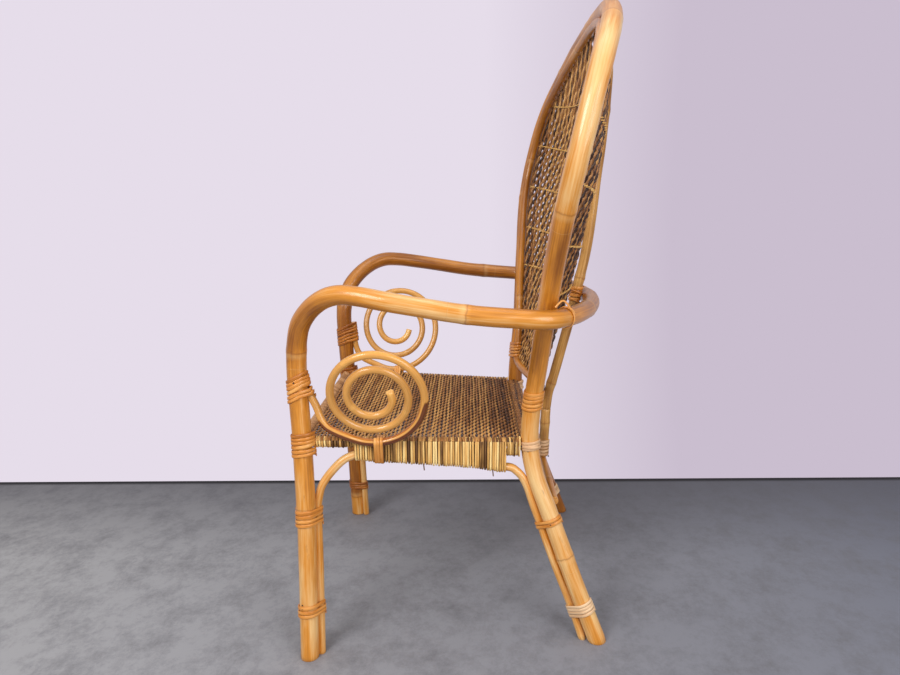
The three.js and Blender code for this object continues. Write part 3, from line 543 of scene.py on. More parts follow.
# Side braces
# A thin cane on each side rises from the front foot, arches under the seat rail and comes down
# to the rear foot; lashings hold it to the legs. Its rear shoulder bulges back and sags a little.
brace_radius = 0.0075
brace_lines = {}
shoulder_height, shoulder_spread = 0.309, 0.055
shoulder_back, shoulder_drop = 0.0103, 0.0083
for side_name, sign in (("left", 1), ("right", -1)):
    brace_points = smoothed(cane_line(side_name + "_side_brace", 8, (sign * 0.28, -0.27, 0)), 0.006)[0]
    reach, height = brace_points[:, 1].copy(), brace_points[:, 2].copy()
    bulge = hump(height - shoulder_height, shoulder_spread) * np.clip((reach - 0.03) / 0.04, 0, 1)
    sagging = np.interp(reach, (0.0, 0.08, 0.10), (0.0, 1.0, 0.0)) ** 1.5
    brace_points[:, 1] += shoulder_back * bulge
    brace_points[:, 2] -= shoulder_drop * sagging
    brace_lines[side_name] = brace_points
    brace = bmesh.new()
    cane(brace, brace_points, brace_radius, [0.43], swell=0.06, sides=14, wander=0.01, seed=11,
         tones=((0.0, 0.66),), level=True)
    finished(side_name + "_brace_cane", brace, golden_cane, "cane", side_name + "_side_brace")


# Scrolls
# A thin rod on each side is bent cold into a spiral that fills the room between front leg, seat
# and arm. Its tip is lashed to the leg, and strips of the dark outer bark are left on it.
scroll_radius = 0.0070
scroll_nodes = [0.50, 0.76, 0.98]
scroll_tones = ((0.0, 0.3), (0.4, 0.42), (0.6, 0.2), (1.06, 0.2), (1.1, 0.9), (1.2, 1.2))
scroll_lines = {}
bark_run = {"left": (0.05, 0.31), "right": (2.0, 2.1)}
bark_fade = 0.03
tip_cut = {"left": 0.042, "right": 0.008}
tip_bows = {"left": ((0.006, 0.080, 0.026), (-0.005, 0.042, 0.022)), "right": ()}
scroll_cane = cane_finish("scroll_cane", tone(244, 190, 104), tone(216, 138, 46), tone(150, 76, 14),
                          gloss=0.2, streak=0.7, coat=0.4, barked=True)
for side_name, sign in (("left", 1), ("right", -1)):
    scroll_points = cane_line(side_name + "_scroll", 6, (sign * 0.23, -0.26, 0.532))
    scroll_even, scroll_lengths = smoothed(scroll_points, 0.005)
    for bow_shift, bow_place, bow_reach in tip_bows[side_name]:
        scroll_even[:, 1] += bow_shift * hump(scroll_lengths - bow_place, bow_reach)
    scroll_lines[side_name] = scroll_even
    scroll_points = scroll_even[scroll_lengths >= tip_cut[side_name]]
    scroll_eye = scroll_points[-40:].mean(axis=0)

    def facing_out(line, eye=scroll_eye, run=bark_run[side_name]):
        """Away from the eye of the spiral, on the run that keeps its bark."""
        lengths = lengths_along(line)
        begun = np.clip((lengths - run[0]) / bark_fade, 0, 1)
        lasting = np.clip((run[1] - lengths) / bark_fade, 0, 1)
        away = line - eye + np.array([0.0, 0.0, -0.02])
        away = away / np.linalg.norm(away, axis=1)[:, None] + np.array([0.6, 0.0, 0.0])
        return away * (begun * lasting)[:, None] - 1e-3
    scroll = bmesh.new()
    cane(scroll, scroll_points, scroll_radius, scroll_nodes, sides=14, step=0.005, wander=0.008, seed=14,
         tones=scroll_tones, bark=facing_out)
    finished(side_name + "_scroll_rod", scroll, scroll_cane, "cane", side_name + "_scroll")


# Struts and cross bar
# The back strut is a duller, greenish cane behind the weave; it stands on a short strut, and that
# on a cross bar nailed between the rear legs.
strut_radius = 0.010
bar_radius = 0.008
aged_cane = cane_finish("aged_cane", tone(232, 190, 118), tone(202, 148, 76), tone(140, 90, 38),
                        gloss=0.36, streak=1.0, coat=0.15)
strut_points = cane_line("back_strut", 10, (0, 0.18, 0.4))
lower_points = cane_line("lower_strut", 10, (0, 0.17, 0.26))
for strut_name, points, nodes, swell, seed in (
        ("back_strut", strut_points, [0.058, 0.288, 0.62], 0.12, 21),
        ("lower_strut", lower_points, [0.076], 0.1, 23)):
    strut = bmesh.new()
    cane(strut, points, strut_radius, nodes, swell, sides=16, wander=0.012, seed=seed,
         tones=((0.0, 0.4),), level=True)
    finished(strut_name + "_cane", strut, aged_cane, "aged_cane", strut_name)
bar = bmesh.new()
bar_points = cane_line("rear_cross_bar", 10, (-0.22, 0.17, 0.25))
cane(bar, bar_points, bar_radius, [0.13, 0.33], swell=0.06, sides=14, wander=0.01, seed=25)
finished("cross_bar_cane", bar, golden_cane, "cane", "rear_cross_bar")


# Seat rails and slats
# Plain canes that carry the seat, nailed between the legs and the rails. They are hidden by the
# wraps and the weave but for their ends.
side_rail_radius = 0.007
cross_rail_radius = 0.009
slat_radius = 0.006
rail_parts = {
    "left_side_rail": (8, side_rail_radius, (0.24, -0.25, 0.39)),
    "right_side_rail": (8, side_rail_radius, (-0.24, -0.25, 0.39)),
    "front_rail": (10, cross_rail_radius, (-0.22, -0.28, 0.39)),
    "rear_rail": (10, cross_rail_radius, (-0.2, 0.12, 0.37)),
    "seat_slat_1": (10, slat_radius, (-0.2, -0.2, 0.38)),
    "seat_slat_2": (10, slat_radius, (-0.2, -0.1, 0.38)),
    "seat_slat_3": (10, slat_radius, (-0.2, 0.0, 0.38)),
}
rail_lines = {}
for rail_name, (sides, radius, near) in rail_parts.items():
    rail_lines[rail_name] = cane_line(rail_name, sides, near)
    rail = bmesh.new()
    cane(rail, rail_lines[rail_name], radius, [0.12, 0.29], sides=12, step=0.01)
    finished(rail_name + "_cane", rail, golden_cane, "cane", rail_name)


# Wraps of the seat rails
# Thin straw-coloured strands are wound side by side round each side rail; further back they take
# the brace in too and make a shallow apron, where two loose ends hang. A flat band covers the
# front rail, and brown strands the rear one.
to_rear = np.array([0.0, 1.0, 0.0])
upward = np.array([0.0, 0.0, 1.0])


def plane_cut(line, origin, axis):
    """The point where a line passes the plane through an origin, nearest to that origin."""
    far = (line - origin) @ axis
    passes = np.nonzero(far[:-1] * far[1:] <= 0)[0]
    if len(passes) == 0:
        nearest = line[np.argmin(np.abs(far))]
        return nearest - axis * ((nearest - origin) @ axis)
    share = far[passes] / (far[passes] - far[passes + 1] + 1e-12)
    points = line[passes] + (line[passes + 1] - line[passes]) * share[:, None]
    return points[np.argmin(np.linalg.norm(points - origin, axis=1))]


def wind(piece, held, at, turns, pitch, width, thickness, seed=0, per_turn=28, sides=8, loose=0.0,
         shades=(0.35, 0.7), dark=0.0, ragged=0.0, clear=0.0003, squareness=0.8, lean=0.0):
    """Winds a flat strand round canes that lie side by side, at a place on the first of them. Each
    turn has its own shade, ragged turns hang lower and leaning ones rise to the rear."""
    chance = random.Random(seed)
    first = held[0][0]
    nearest = int(np.argmin(np.linalg.norm(first - np.array(at), axis=1)))
    low, high = max(nearest - 1, 0), min(nearest + 1, len(first) - 1)
    axis = first[high] - first[low]
    axis = axis / np.linalg.norm(axis)
    station = plane_cut(first, np.array(at, float), axis)
    guide = upward if abs(axis[2]) < 0.7 else to_rear
    across = guide - axis * guide.dot(axis)
    across /= np.linalg.norm(across)
    third = np.cross(axis, across)
    angles = 2 * math.pi * np.arange(per_turn) / per_turn

    def taut(angle, along):
        """The place of the strand at an angle round the canes, and the way it faces there."""
        origin = station + axis * along
        normal = across * math.cos(angle) + third * math.sin(angle)
        best, reach = None, -math.inf
        for line, radius in held:
            centre = plane_cut(line, origin, axis)
            this = (centre - origin) @ normal + radius
            if this > reach:
                best, reach = centre + normal * (radius + clear + thickness / 2), this
        return best, normal

    loop = np.array([taut(angle, 0.0)[0] for angle in angles])
    sides_of_loop = np.linalg.norm(np.roll(loop, -1, axis=0) - loop, axis=1)
    shares = np.concatenate([[0.0], np.cumsum(sides_of_loop)]) / sides_of_loop.sum()
    slips, lifts, tones, hangs = [], [], [], []
    for _ in range(int(turns) + 3):
        slips.append(chance.uniform(-1, 1))
        lifts.append(chance.random())
        tones.append(chance.uniform(*shades) if chance.random() > dark else chance.uniform(-0.1, 0.2))
        hangs.append(chance.random() ** 2)
    places, normals, shade, widths = [], [], [], []
    for step in range(int(round(turns * per_turn)) + 1):
        turn, corner = divmod(step, per_turn)
        angle, share = angles[corner], shares[corner]
        slip = slips[turn] + (slips[turn + 1] - slips[turn]) * share
        lift = lifts[turn] + (lifts[turn + 1] - lifts[turn]) * share
        rearward = across[1] * math.cos(angle) + third[1] * math.sin(angle)
        along = (turn + share - turns / 2) * pitch + slip * loose * pitch
        along += math.copysign(lean, axis[2]) * rearward
        place, normal = taut(angle, along)
        hang = hangs[turn] * ragged * max(0.0, -normal[2]) ** 2
        places.append(place + normal * (lift * loose * thickness + hang))
        normals.append(normal)
        shade.append(tones[turn])
        widths.append(width * (1 + 0.5 * loose * slip))
    widths = np.array(widths) / 2
    thick = np.full(len(places), thickness / 2)
    for end in (0, -1):
        widths[end] *= 0.6
        thick[end] *= 0.6
    bend(piece, np.array(places), np.array(normals), widths, thick, sides, squareness,
         shade=np.array(shade), start=chance.uniform(0, 5))


def strand_finish(name, pale, body, deep, gloss, darker=0.0):
    """Split strands of rattan: each has its own shade, with fibres and stains along it."""
    material, shader, start = new_finish(name)
    straight = carried(start, "straight", "Vector")
    fibre = grain(straight, 900.0, 22.0, 3.0)
    stain = grain(straight, 90.0, 16.0, 2.0)
    mottle = (fibre - 0.5) * 0.6 + (stain - 0.5) * 0.9 + carried(start, "shade") - darker
    stops = [(0.08, deep), (0.45, body), (0.85, pale)]
    colour = start.node("ShaderNodeValToRGB", {"stops": stops}, {0: mottle})
    relief = start.node("ShaderNodeBump", {}, {"Height": fibre, "Strength": 0.3, "Distance": 0.0003})
    feed(shader, Base_Color=colour, Roughness=fibre * 0.2 + gloss, Normal=relief)
    return material


straw_strand = strand_finish("straw_strand", tone(254, 226, 158), tone(224, 172, 94), tone(96, 62, 28),
                             gloss=0.4, darker=0.2)
brown_strand = strand_finish("brown_strand", tone(212, 160, 92), tone(152, 98, 46), tone(52, 26, 10),
                             gloss=0.4)
band_strand = strand_finish("band_strand", tone(218, 172, 126), tone(186, 136, 88), tone(120, 76, 44),
                            gloss=0.45)
wrap_strand, wrap_thickness = 0.0045, 0.0028
under_strand, under_thickness = 0.008, 0.0010
apron_rear = 0.0800
arch_from = 0.25
corner_below = np.array([0.0, 0.0, -0.013])
corner_windings = (
    (-0.0085, 3.4, 0.0044, 0.0044, 0.0082, (0.4, 0.8)),
    (0.0025, 1.1, 0.004, 0.0088, 0.0078, (0.3, 0.45)),
    (0.0067, 1.1, 0.001, 0.0026, 0.0098, (0.8, 0.9)),
    # The last winding, one thin dark strand, is painted shade in the gap in front of the second winding.
    (-0.0022, 1.1, 0.001, 0.0022, 0.0098, (-0.2, -0.1)),
)
stray_places = (-0.072, 0.0535)
stray_fall = np.linspace(0, 1, 5)[:, None] * np.array([0.0, 0.001, -0.013])
for seed, side_name in enumerate(("left", "right")):
    rail_line = smoothed(rail_lines[side_name + "_side_rail"], 0.01)[0]
    brace_line = smoothed(brace_lines[side_name], 0.006)[0]
    brace_arch = brace_line[brace_line[:, 2] > arch_from]
    rail_held, brace_held = (rail_line, side_rail_radius), (brace_arch, brace_radius)
    for wrap_name, held, rear in (("front_side_wrap", [rail_held], None),
                                  ("side_wrap", [rail_held, brace_held], apron_rear)):
        low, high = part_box(f"{side_name}_{wrap_name}")
        rear = rear or high.y
        run = rear - low.y
        middle = plane_cut(rail_line, np.array([0, (low.y + rear) / 2, 0.4]), to_rear)
        wrap = bmesh.new()
        wind(wrap, held, middle, run / wrap_strand - 0.5, wrap_strand, wrap_strand * 0.84, wrap_thickness,
             seed=8 + seed, per_turn=24, loose=0.22, shades=(0.2, 1.0), dark=0.03, ragged=0.0014,
             squareness=1.0)
        # A dark layer below the strands closes the gaps between them with painted shade.
        under = [(line, radius - under_thickness) for line, radius in held]
        wind(wrap, under, middle, run / under_strand - 1, under_strand, 0.0086, under_thickness,
             seed=3, per_turn=18, sides=6, shades=(-0.1, 0.1))
        if rear == apron_rear:
            corner = rail_line[-1] + np.array([0.0, -0.006, 0.0])
            for back_by, turns, pitch, width, lie, shades in corner_windings:
                wind(wrap, [(rail_line, lie), (rail_line + corner_below, lie)],
                     corner + np.array([0.0, back_by, 0.0]), turns, pitch, width, 0.0026,
                     seed=4, per_turn=24, sides=6, loose=0.1, shades=shades)
            for stray_place in stray_places:
                end_top = plane_cut(brace_arch, np.array([0, stray_place, 0.37]), to_rear)
                side_out = math.copysign(1, end_top[0])
                stray = end_top + np.array([side_out * 0.008, 0.0, -0.006]) + stray_fall
                bend(wrap, stray, np.array([side_out, 0.0, 0.0]), 0.0012, 0.0010, 6, shade=0.3)
        finished(f"{side_name}_{wrap_name}_strands", wrap, straw_strand, "straw_wrap",
                 f"{side_name}_{wrap_name}")
for wrap_name, strand, thickness, loose, material, slot in (
        ("front", 0.0105, 0.0012, 0.0, band_strand, "straw_wrap"),
        ("rear", 0.0050, wrap_thickness, 0.1, brown_strand, "weave")):
    low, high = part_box(wrap_name + "_wrap")
    rail_line = smoothed(rail_lines[wrap_name + "_rail"], 0.01)[0]
    turns = (high.x - low.x) / strand - 0.5
    wrap = bmesh.new()
    wind(wrap, [(rail_line, cross_rail_radius)], (low + high) / 2, turns, strand, strand * 0.97,
         thickness, seed=5, per_turn=22, loose=loose, shades=(0.3, 0.6))
    finished(wrap_name + "_wrap_strands", wrap, material, slot, wrap_name + "_wrap")


# Woven seat
# Plain weave of brown wicker: strands run across the chair, over and under stakes that run from
# front to back. They turn down over the side rails, and the last rows cover the rear rail.
seat_low, seat_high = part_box("seat_weave")
seat_corners = [vert.co.copy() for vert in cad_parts["seat_weave"].data.vertices]
seat_front = [corner for corner in seat_corners if corner.y < seat_low.y + 0.0005]
seat_rear = [corner for corner in seat_corners if corner.y > seat_high.y - 0.0005]
front_top, rear_top = (max(corner.z for corner in row) for row in (seat_front, seat_rear))
front_half, rear_half = (max(corner.x for corner in row) for row in (seat_front, seat_rear))
rear_rail = rail_lines["rear_rail"].mean(axis=0)
weft_pitch, weft_width, weft_thickness = 0.0066, 0.0044, 0.0030
stake_pitch, stake_radius, stake_below = 0.0105, 0.0016, 0.0012
weave_lift, weave_sway = 0.0011, 0.0012
points_per_stake = 3.5
rows = int((seat_high.y - seat_low.y) / weft_pitch)
roll_rows, roll_radius, roll_start = 7, 0.0140, math.radians(-57)
over_rail, rail_out, rail_down = 0.0140, 0.0095, 0.0142
turn_points = 6
turn_down = np.linspace(math.radians(72), math.radians(40), turn_points)
turned_out = np.stack([np.cos(turn_down), np.zeros(turn_points), np.sin(turn_down)], axis=1)
mirrored = np.array([-1.0, 1.0, 1.0])
edge_cords = ((-0.0040, 0.0045, 0.0030), (-0.0095, 0.0065, 0.0030), (0.0035, 0.0075, 0.0038))
seat = bmesh.new()
chance = random.Random(31)
for row in range(rows + roll_rows):
    share = min((row + 0.5) / rows, 1.0)
    top = front_top + (rear_top - front_top) * share
    half = front_half + (rear_half - front_half) * share
    facing = upward
    reach = seat_low.y + share * (seat_high.y - seat_low.y)
    if row >= rows:
        roll = roll_start + (row - rows) * weft_pitch / roll_radius
        facing = np.array([0.0, math.sin(roll), math.cos(roll)])
        reach, top = (rear_rail + facing * roll_radius)[1:]
        half = rear_half - 0.002
    count = int(round(2 * half / stake_pitch * points_per_stake))
    across = np.linspace(-half, half, count)
    fanned = stake_pitch * half / front_half
    lift = weave_lift if row < rows else weave_lift / 3
    wave = lift * np.sin(math.pi * (across / fanned + row))
    centre = np.array([0.0, reach, top]) - facing * (weft_thickness / 2 + weave_lift)
    weft = centre + across[:, None] * np.array([1.0, 0.0, 0.0]) + wave[:, None] * facing
    weft[:, 1] += weave_sway * np.cos(math.pi * (across / fanned + row))
    weft[:, 1] += 0.0006 * np.sin(across * 31 + row * 1.7) + chance.uniform(-0.0004, 0.0004)
    # Painted light and shade: the strands are painted a little lighter at the front and darker towards the
    # rear, in the shade of the back; lighter where they rise over a stake and darker where they dip under
    # one; and lighter towards the left edge, which faces the lamps.
    painted_rear_shade = np.interp(share, (0.0, 0.75, 1.0), (0.1, 0.05, -0.2))
    tones = chance.uniform(0.3, 0.75) + painted_rear_shade + 0.15 * wave / weave_lift
    tones += 0.5 * np.clip(across / half - 0.6, 0, 1)
    widths = np.full(count, weft_width / 2)
    normals = np.tile(facing, (count, 1))
    if row < rows:
        over = np.array([half + rail_out, reach, top - rail_down]) + over_rail * turned_out
        weft = np.concatenate([(over * mirrored)[::-1], weft[1:-1], over])
        normals = np.concatenate([(turned_out * mirrored)[::-1], normals[1:-1], turned_out])
        edge = np.full(turn_points, tones[count // 2] + chance.uniform(-0.25, 0.2))
        tones = np.concatenate([edge, tones[1:-1], edge])
        wider = np.full(turn_points, weft_pitch * 0.42)
        widths = np.concatenate([wider, widths[1:-1], wider])
    bend(seat, weft, normals, widths, weft_thickness / 2, 6, 0.85, shade=tones, start=chance.uniform(0, 9))
stakes = int(2 * front_half / stake_pitch) // 2
for stake in range(-stakes, stakes + 1):
    share = np.linspace(0.004, 0.996, rows + 1)
    reach = seat_low.y + share * (seat_high.y - seat_low.y)
    top = front_top + (rear_top - front_top) * share
    x = (stake + 0.5) * stake_pitch * (front_half + (rear_half - front_half) * share) / front_half
    line = np.stack([x, reach, top - weft_thickness / 2 - weave_lift - stake_below], axis=1)
    bend(seat, line, upward, stake_radius, stake_radius, 5, shade=chance.uniform(-0.2, 0.1),
         start=chance.uniform(0, 9))
# Cords along the side rails, which the strands turn down over. They are dark and close the holes near
# the edges, as painted shade under the seat.
for side in (-1, 1):
    for inside, lower, size in edge_cords:
        front_end = np.array([side * (front_half - inside), seat_low.y + 0.002, front_top - lower])
        rear_end = np.array([side * (rear_half - inside), seat_high.y - 0.002, rear_top - lower])
        cord_line = front_end + (rear_end - front_end) * np.linspace(0, 1, 40)[:, None]
        bend(seat, cord_line, upward, size, size, shade=0.1)
finished("woven_seat", seat, brown_strand, "weave", "seat_weave")


# Woven back
# Pairs of round strands, loosely twisted, fan out from the waist to the widest height of the inner
# hoop, stand upright above it and lie in a dish. Five pale pairs of thin strands tie them, a
# hand's breadth apart, and sag in the middle.
inner_line = smoothed(inner_left, 0.006)[0]
inner_low, inner_high = inner_line[:, 2].min(), inner_line[:, 2].max()
wide_index = int(np.argmax(inner_line[:, 0]))
wide_half, _, wide_height = inner_line[wide_index]
dish_height = inner_low + 0.6 * (inner_high - inner_low)
dish_top, dish_foot = inner_line[0, 1], inner_line[-1, 1]
dish_power = 3.5
dish_extra = ((0.42, 0.47, 0.56, 0.63, 0.70, 0.85, 1.0),
              (0.006, 0.013, 0.016, 0.023, 0.026, 0.021, 0.012))
rim_back = 0.0085
rim_angles = np.arctan2(inner_line[:, 2] - dish_height, inner_line[:, 0])
rim_radii = np.hypot(inner_line[:, 2] - dish_height, inner_line[:, 0])
rim_depths = inner_line[:, 1] + rim_back * inner_line[:, 0] / wide_half


def dish(x, z):
    """How far back the weave lies at a place across and up."""
    angle = np.arctan2(z - dish_height, np.abs(x))
    rim = np.interp(angle, rim_angles[::-1], rim_radii[::-1])
    rim_reach = np.interp(angle, rim_angles[::-1], rim_depths[::-1])
    share = np.clip(np.hypot(z - dish_height, x) / rim, 0, 1)
    deep = dish_foot + (dish_top - dish_foot) * (z - inner_low) / (inner_high - inner_low)
    deep = deep + np.interp(z, *dish_extra)
    return deep + (rim_reach - deep) * share ** dish_power


def half_width(z):
    """Half the width of the inner hoop at a height."""
    return np.interp(z, inner_line[::-1, 2], inner_line[::-1, 0])


waist_height = inner_low + 0.075
waist_half = float(half_width(waist_height))


def spread(z):
    """Half the width over which the stakes are spread at a height."""
    z = np.asarray(z, float)
    fan = half_width(np.maximum(z, waist_height))
    return np.where(z > wide_height, wide_half, np.where(z < waist_height, waist_half, fan))


stake_count = 38
stake_crowding = 0.76


def stake_lie(stake):
    """Where a stake lies, from -1 at the right edge to 1 at the left; they crowd at the edges."""
    lie = (2 * stake + 1) / stake_count - 1
    return np.copysign(np.abs(lie) ** stake_crowding, lie)


to_sitter = np.array([0.0, -1.0, 0.0])
twist_strand, twist_radius = 0.0021, 0.0021
sway_back, sway_side = 0.0012, 0.0006
rim_clear = 0.0030
weave_step = 0.0030
back = bmesh.new()
chance = random.Random(47)
heights = np.arange(inner_low + 0.006, inner_high - 0.006, weave_step)
top_share = np.clip((heights - 0.90) / 0.14, 0, 1)
wave_length = 0.0165 + 0.009 * top_share
waves = np.cumsum(2 * math.pi * weave_step / wave_length)
calm = 1 - 0.7 * top_share
for stake in range(stake_count):
    lie = stake_lie(stake)
    thick = twist_strand * (1 + 0.6 * lie ** 6)
    x = lie * spread(heights)
    shown = np.abs(x) < half_width(heights) - rim_clear
    if shown.sum() < 4:
        continue
    z = heights[shown]
    swaying = waves[shown] + math.pi * stake + 0.35 * np.sin(z * 60 + stake) + chance.uniform(-0.3, 0.3)
    aside = x[shown] + sway_side * calm[shown] * np.sin(swaying)
    behind = dish(x[shown], z) - sway_back * calm[shown] * np.sin(swaying)
    for strand in (0, 1):
        angle = math.pi * strand + swaying / 2 + stake
        line = np.stack([aside + twist_radius * np.cos(angle), behind + twist_radius * np.sin(angle), z],
                        axis=1)
        shade = chance.uniform(0.45, 0.95) if strand else chance.uniform(0.05, 0.4)
        # The left half is made darker, and the strands nearest the rim a little darker.
        shade -= 0.3 if lie > 0.2 else 0.1 * lie ** 6
        bend(back, line, to_sitter, thick, thick, 6, shade=shade, start=chance.uniform(0, 9))
# A strand along the inner hoop, behind its inside edge, where the stakes' ends are bound; it is painted
# near black as the shade in the gap between hoop and weave.
rim_inside, rim_behind, rim_strand = 0.004, 0.011, 0.0028
for side in (-1, 1):
    rim_line = inner_line * np.array([side, 1.0, 1.0]) + np.array([-side * rim_inside, rim_behind, 0.0])
    bend(back, rim_line, to_sitter, rim_strand, rim_strand, shade=-0.4)
finished("woven_back", back, brown_strand, "weave", "back_panel")

tie_strand, tie_twist, tie_away = 0.0012, 0.0014, 0.0060
tie_rows = ((0.648, 0.005), (0.737, 0.020), (0.834, 0.026), (0.934, 0.034), (1.030, 0.035))
ties = bmesh.new()
for tie_height, sag in tie_rows:
    for strand_sign in (1, -1):
        place = np.arange(-1.0, stake_count + 1e-6, 0.25)
        lie = stake_lie(place)
        z = tie_height - sag * (1 - lie ** 2) + strand_sign * tie_twist * np.sin(math.pi * place)
        x = np.clip(lie, -1.03, 1.03) * spread(np.full(len(z), tie_height))
        keep = np.abs(x) < half_width(z) + 0.004
        y = dish(x, z) - strand_sign * tie_away * np.cos(math.pi * place)
        line = np.stack([x, y, z], axis=1)[keep]
        bend(ties, line, upward, tie_strand, tie_strand, 5, shade=0.65, start=chance.uniform(0, 9))
finished("back_ties", ties, straw_strand, "weave")


# Lashings
# Split cane strands, wet when wound, bind each brace, scroll and hoop to its leg; they dry tight
# and glossy. Straps of the same strand hold the arms and the scrolls' feet, and paler strands the
# rear joints and the lower strut. Small nails hold their ends.
lash_strand = strand_finish("lash_strand", tone(242, 182, 104), tone(212, 134, 50), tone(130, 66, 16),
                            gloss=0.24)
pale_strand = strand_finish("pale_strand", tone(240, 208, 168), tone(218, 174, 130), tone(158, 108, 66),
                            gloss=0.32)
lash_thickness = 0.0021


def halves(points):
    """The left and the right half of a line that crosses the middle of the chair."""
    line = smoothed(points, 0.006)[0]
    return {"left": line[line[:, 0] > 0], "right": line[line[:, 0] < 0]}


def lashing(node, held, windings, material, slot, seed, shades=(0.4, 0.65), lean=0.0,
            moved=(0.0, 0.0, 0.0)):
    """One node's lashing; each winding gives its turns, pitch, width, loose share and how far out
    it lies. A second winding the other way crosses the first."""
    low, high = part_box(node)
    place = (low + high) / 2 + Vector(moved)
    piece = bmesh.new()
    for turns, pitch, width, loose, clear in windings:
        wind(piece, held, place, turns, pitch, width, lash_thickness, seed=seed, per_turn=26, sides=10,
             loose=loose, shades=shades, clear=clear, lean=lean)
    finished(node + "_strand", piece, material, slot, node)


arm_half, hoop_half, inner_half = halves(arm_points), halves(hoop_points), halves(inner_loop)
strut_line, lower_line = (smoothed(points, 0.006)[0] for points in (strut_points, lower_points))
leg_winding = (0.0072, 0.0064, 0.25, 0.0003)
rear_seat_windings = [(3.1, 0.0056, 0.0057, 0.05, 0.0003), (1.3, -0.0130, 0.0050, 0.1, 0.0020)]
rear_low_winding = (4, 0.006, 0.0056, 0.1, 0.0003)
arm_strap_winding = (1.2, 0.0040, 0.0044, 0.1, 0.0003)
scroll_strap_winding = (3, 0.0052, 0.0054, 0.1, 0.0003)
strut_windings = [(4.2, 0.0080, 0.0066, 0.2, 0.0003), (2.2, -0.0150, 0.0030, 0.3, 0.0024)]
strut_foot_winding = (5, 0.0066, 0.0058, 0.25, 0.0003)
raised = {"scroll_lashing": 0.003, "front_low_lashing": 0.007}
tip_forward, tip_run = {"left": 0.016, "right": 0.004}, 0.050
wrapped_rail, wrapped_more = 0.0105, 0.0036
strap_loop_side = 0.3275
strap_loop = np.array([[0.1806, 0.6358], [0.1760, 0.6440], [0.1686, 0.6495], [0.1620, 0.6450],
                       [0.1567, 0.6391]])
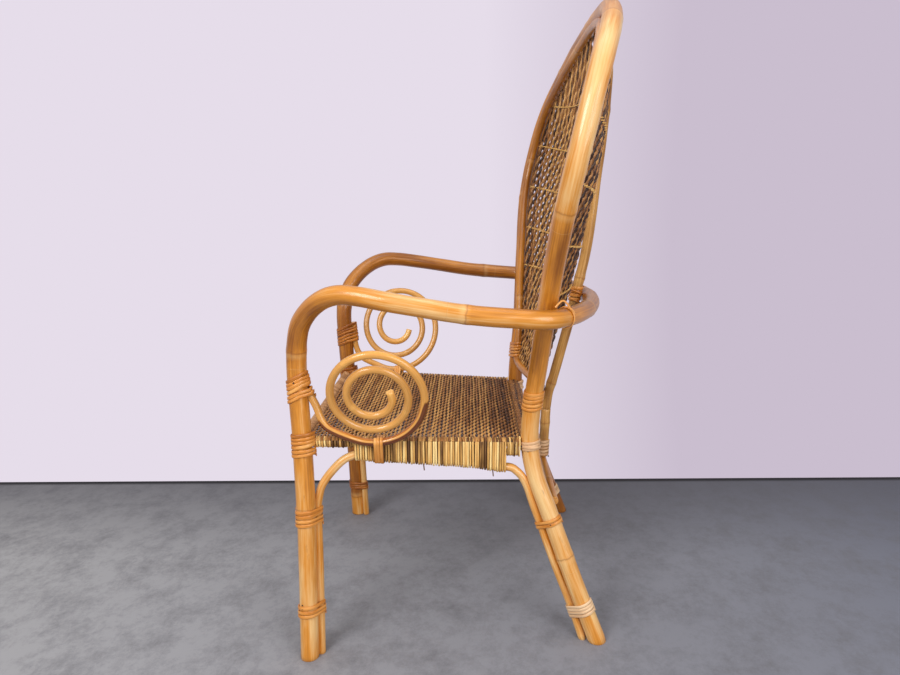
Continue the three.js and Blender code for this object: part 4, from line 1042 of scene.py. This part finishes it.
for seed, (side_name, sign) in enumerate((("left", 1), ("right", -1))):
    arm_leg = (arm_half[side_name], arm_radius * 1.07)
    leg_behind = (arm_half[side_name] + np.array([0, 0.0045, 0]), arm_leg[1])
    hoop_leg = (hoop_half[side_name], hoop_radius)
    brace_line = smoothed(brace_lines[side_name], 0.006)[0]
    brace_held = (brace_line, brace_radius)
    scroll_line = scroll_lines[side_name]
    scroll_start = scroll_line[:24].copy()
    hidden = np.clip((scroll_start[:, 2] - scroll_start[0, 2] + tip_run) / tip_run, 0, 1)
    scroll_start[:, 1] -= tip_forward[side_name] * hidden
    for stem, held, turns, lean in (
            ("scroll_lashing", [arm_leg, (scroll_start, scroll_radius)], 6, 0.007),
            ("front_seat_lashing", [arm_leg, leg_behind], 6, 0.001),
            ("front_brace_lashing", [arm_leg, brace_held], 4.5, 0.0),
            ("front_low_lashing", [arm_leg, brace_held], 3, 0.0),
            ("hoop_lashing", [hoop_leg, (inner_half[side_name], inner_radius)], 5, -0.002),
            ("rear_brace_lashing", [hoop_leg, brace_held], 2, 0.0)):
        # Painted shade: on the right, away from the lamps, the lashings are painted darker, all but the
        # hoop lashing.
        shades = (0.25, 0.6) if sign > 0 else (0.4, 0.6) if stem == "hoop_lashing" else (0.05, 0.4)
        lashing(f"{side_name}_{stem}", held, [(turns, *leg_winding)], lash_strand, "lashing",
                60 + seed, shades, lean, (0.0, 0.0, raised.get(stem, 0.0)))
    lashing(side_name + "_rear_seat_lashing", [hoop_leg], rear_seat_windings, pale_strand,
            "pale_lashing", 70 + seed)
    lashing(side_name + "_rear_low_lashing", [hoop_leg, brace_held], [rear_low_winding], pale_strand,
            "pale_lashing", 72 + seed, (0.5, 0.8))
    arm_back = arm_half[side_name][arm_half[side_name][:, 1] > 0.1]
    lashing(side_name + "_arm_strap", [(arm_back, arm_radius)], [arm_strap_winding], lash_strand,
            "lashing", 74 + seed, (0.6, 0.8), moved=(sign * 0.007, -0.024, 0.0))
    loop_points = np.column_stack([np.full(len(strap_loop), sign * strap_loop_side), strap_loop])
    loop = bmesh.new()
    bend(loop, smoothed(loop_points, 0.003)[0], upward, 0.0021, 0.0017, shade=0.6)
    finished(side_name + "_strap_loop", loop, lash_strand, "lashing")
    rail_line = smoothed(rail_lines[side_name + "_side_rail"], 0.01)[0]
    brace_arch = brace_line[brace_line[:, 2] > arch_from]
    scroll_foot = scroll_line[scroll_line[:, 2] < 0.43]
    lashing(side_name + "_scroll_strap",
            [(rail_line, wrapped_rail), (brace_arch, brace_radius + wrapped_more),
             (scroll_foot, scroll_radius)],
            [scroll_strap_winding], lash_strand, "lashing", 76 + seed, (0.5, 0.75))
lashing("strut_lashing", [(strut_line, strut_radius)], strut_windings, lash_strand, "pale_lashing",
        80, (0.2, 0.5), moved=(0.0, 0.0, 0.010))
lashing("strut_foot_lashing", [(lower_line, strut_radius)], [strut_foot_winding], pale_strand,
        "pale_lashing", 81, (0.25, 0.6))

nail_steel, nail_shader, _ = new_finish("nail_steel")
nail_shader.inputs["Base Color"].default_value = tone(40, 28, 24)
nail_shader.inputs["Roughness"].default_value = 0.45
nails = bmesh.new()
for line, reach, height, angle, size in (
        (arm_half["left"], 0.0196, 0.5049, -5, 0.0016),
        (arm_half["right"], 0.0196, 0.4795, 5, 0.0016),
        (arm_half["left"], 0.0190, 0.1045, -25, 0.0013),
        (arm_half["left"], 0.0190, 0.0973, -24, 0.0013),
        (hoop_half["left"], 0.0205, 0.3663, -51, 0.0017),
        (hoop_half["left"], 0.0160, 0.3580, -18, 0.0022),
        (hoop_half["left"], 0.0175, 0.2240, -15, 0.0022),
        (lower_line, 0.0130, 0.2614, 59, 0.0017)):
    at = plane_cut(line, np.array([line[0][0], line[0][1], height]), upward)
    turn = math.radians(angle)
    spot = Vector((at[0] + reach * math.cos(turn), at[1] + reach * math.sin(turn), height))
    bmesh.ops.create_icosphere(nails, subdivisions=2, radius=size, matrix=Matrix.Translation(spot))
finished("nails", nails, nail_steel, None)

# The straight rods that the pieces were bent from are cleared away.
for rod_mesh in rods.values():
    bpy.data.meshes.remove(rod_mesh)
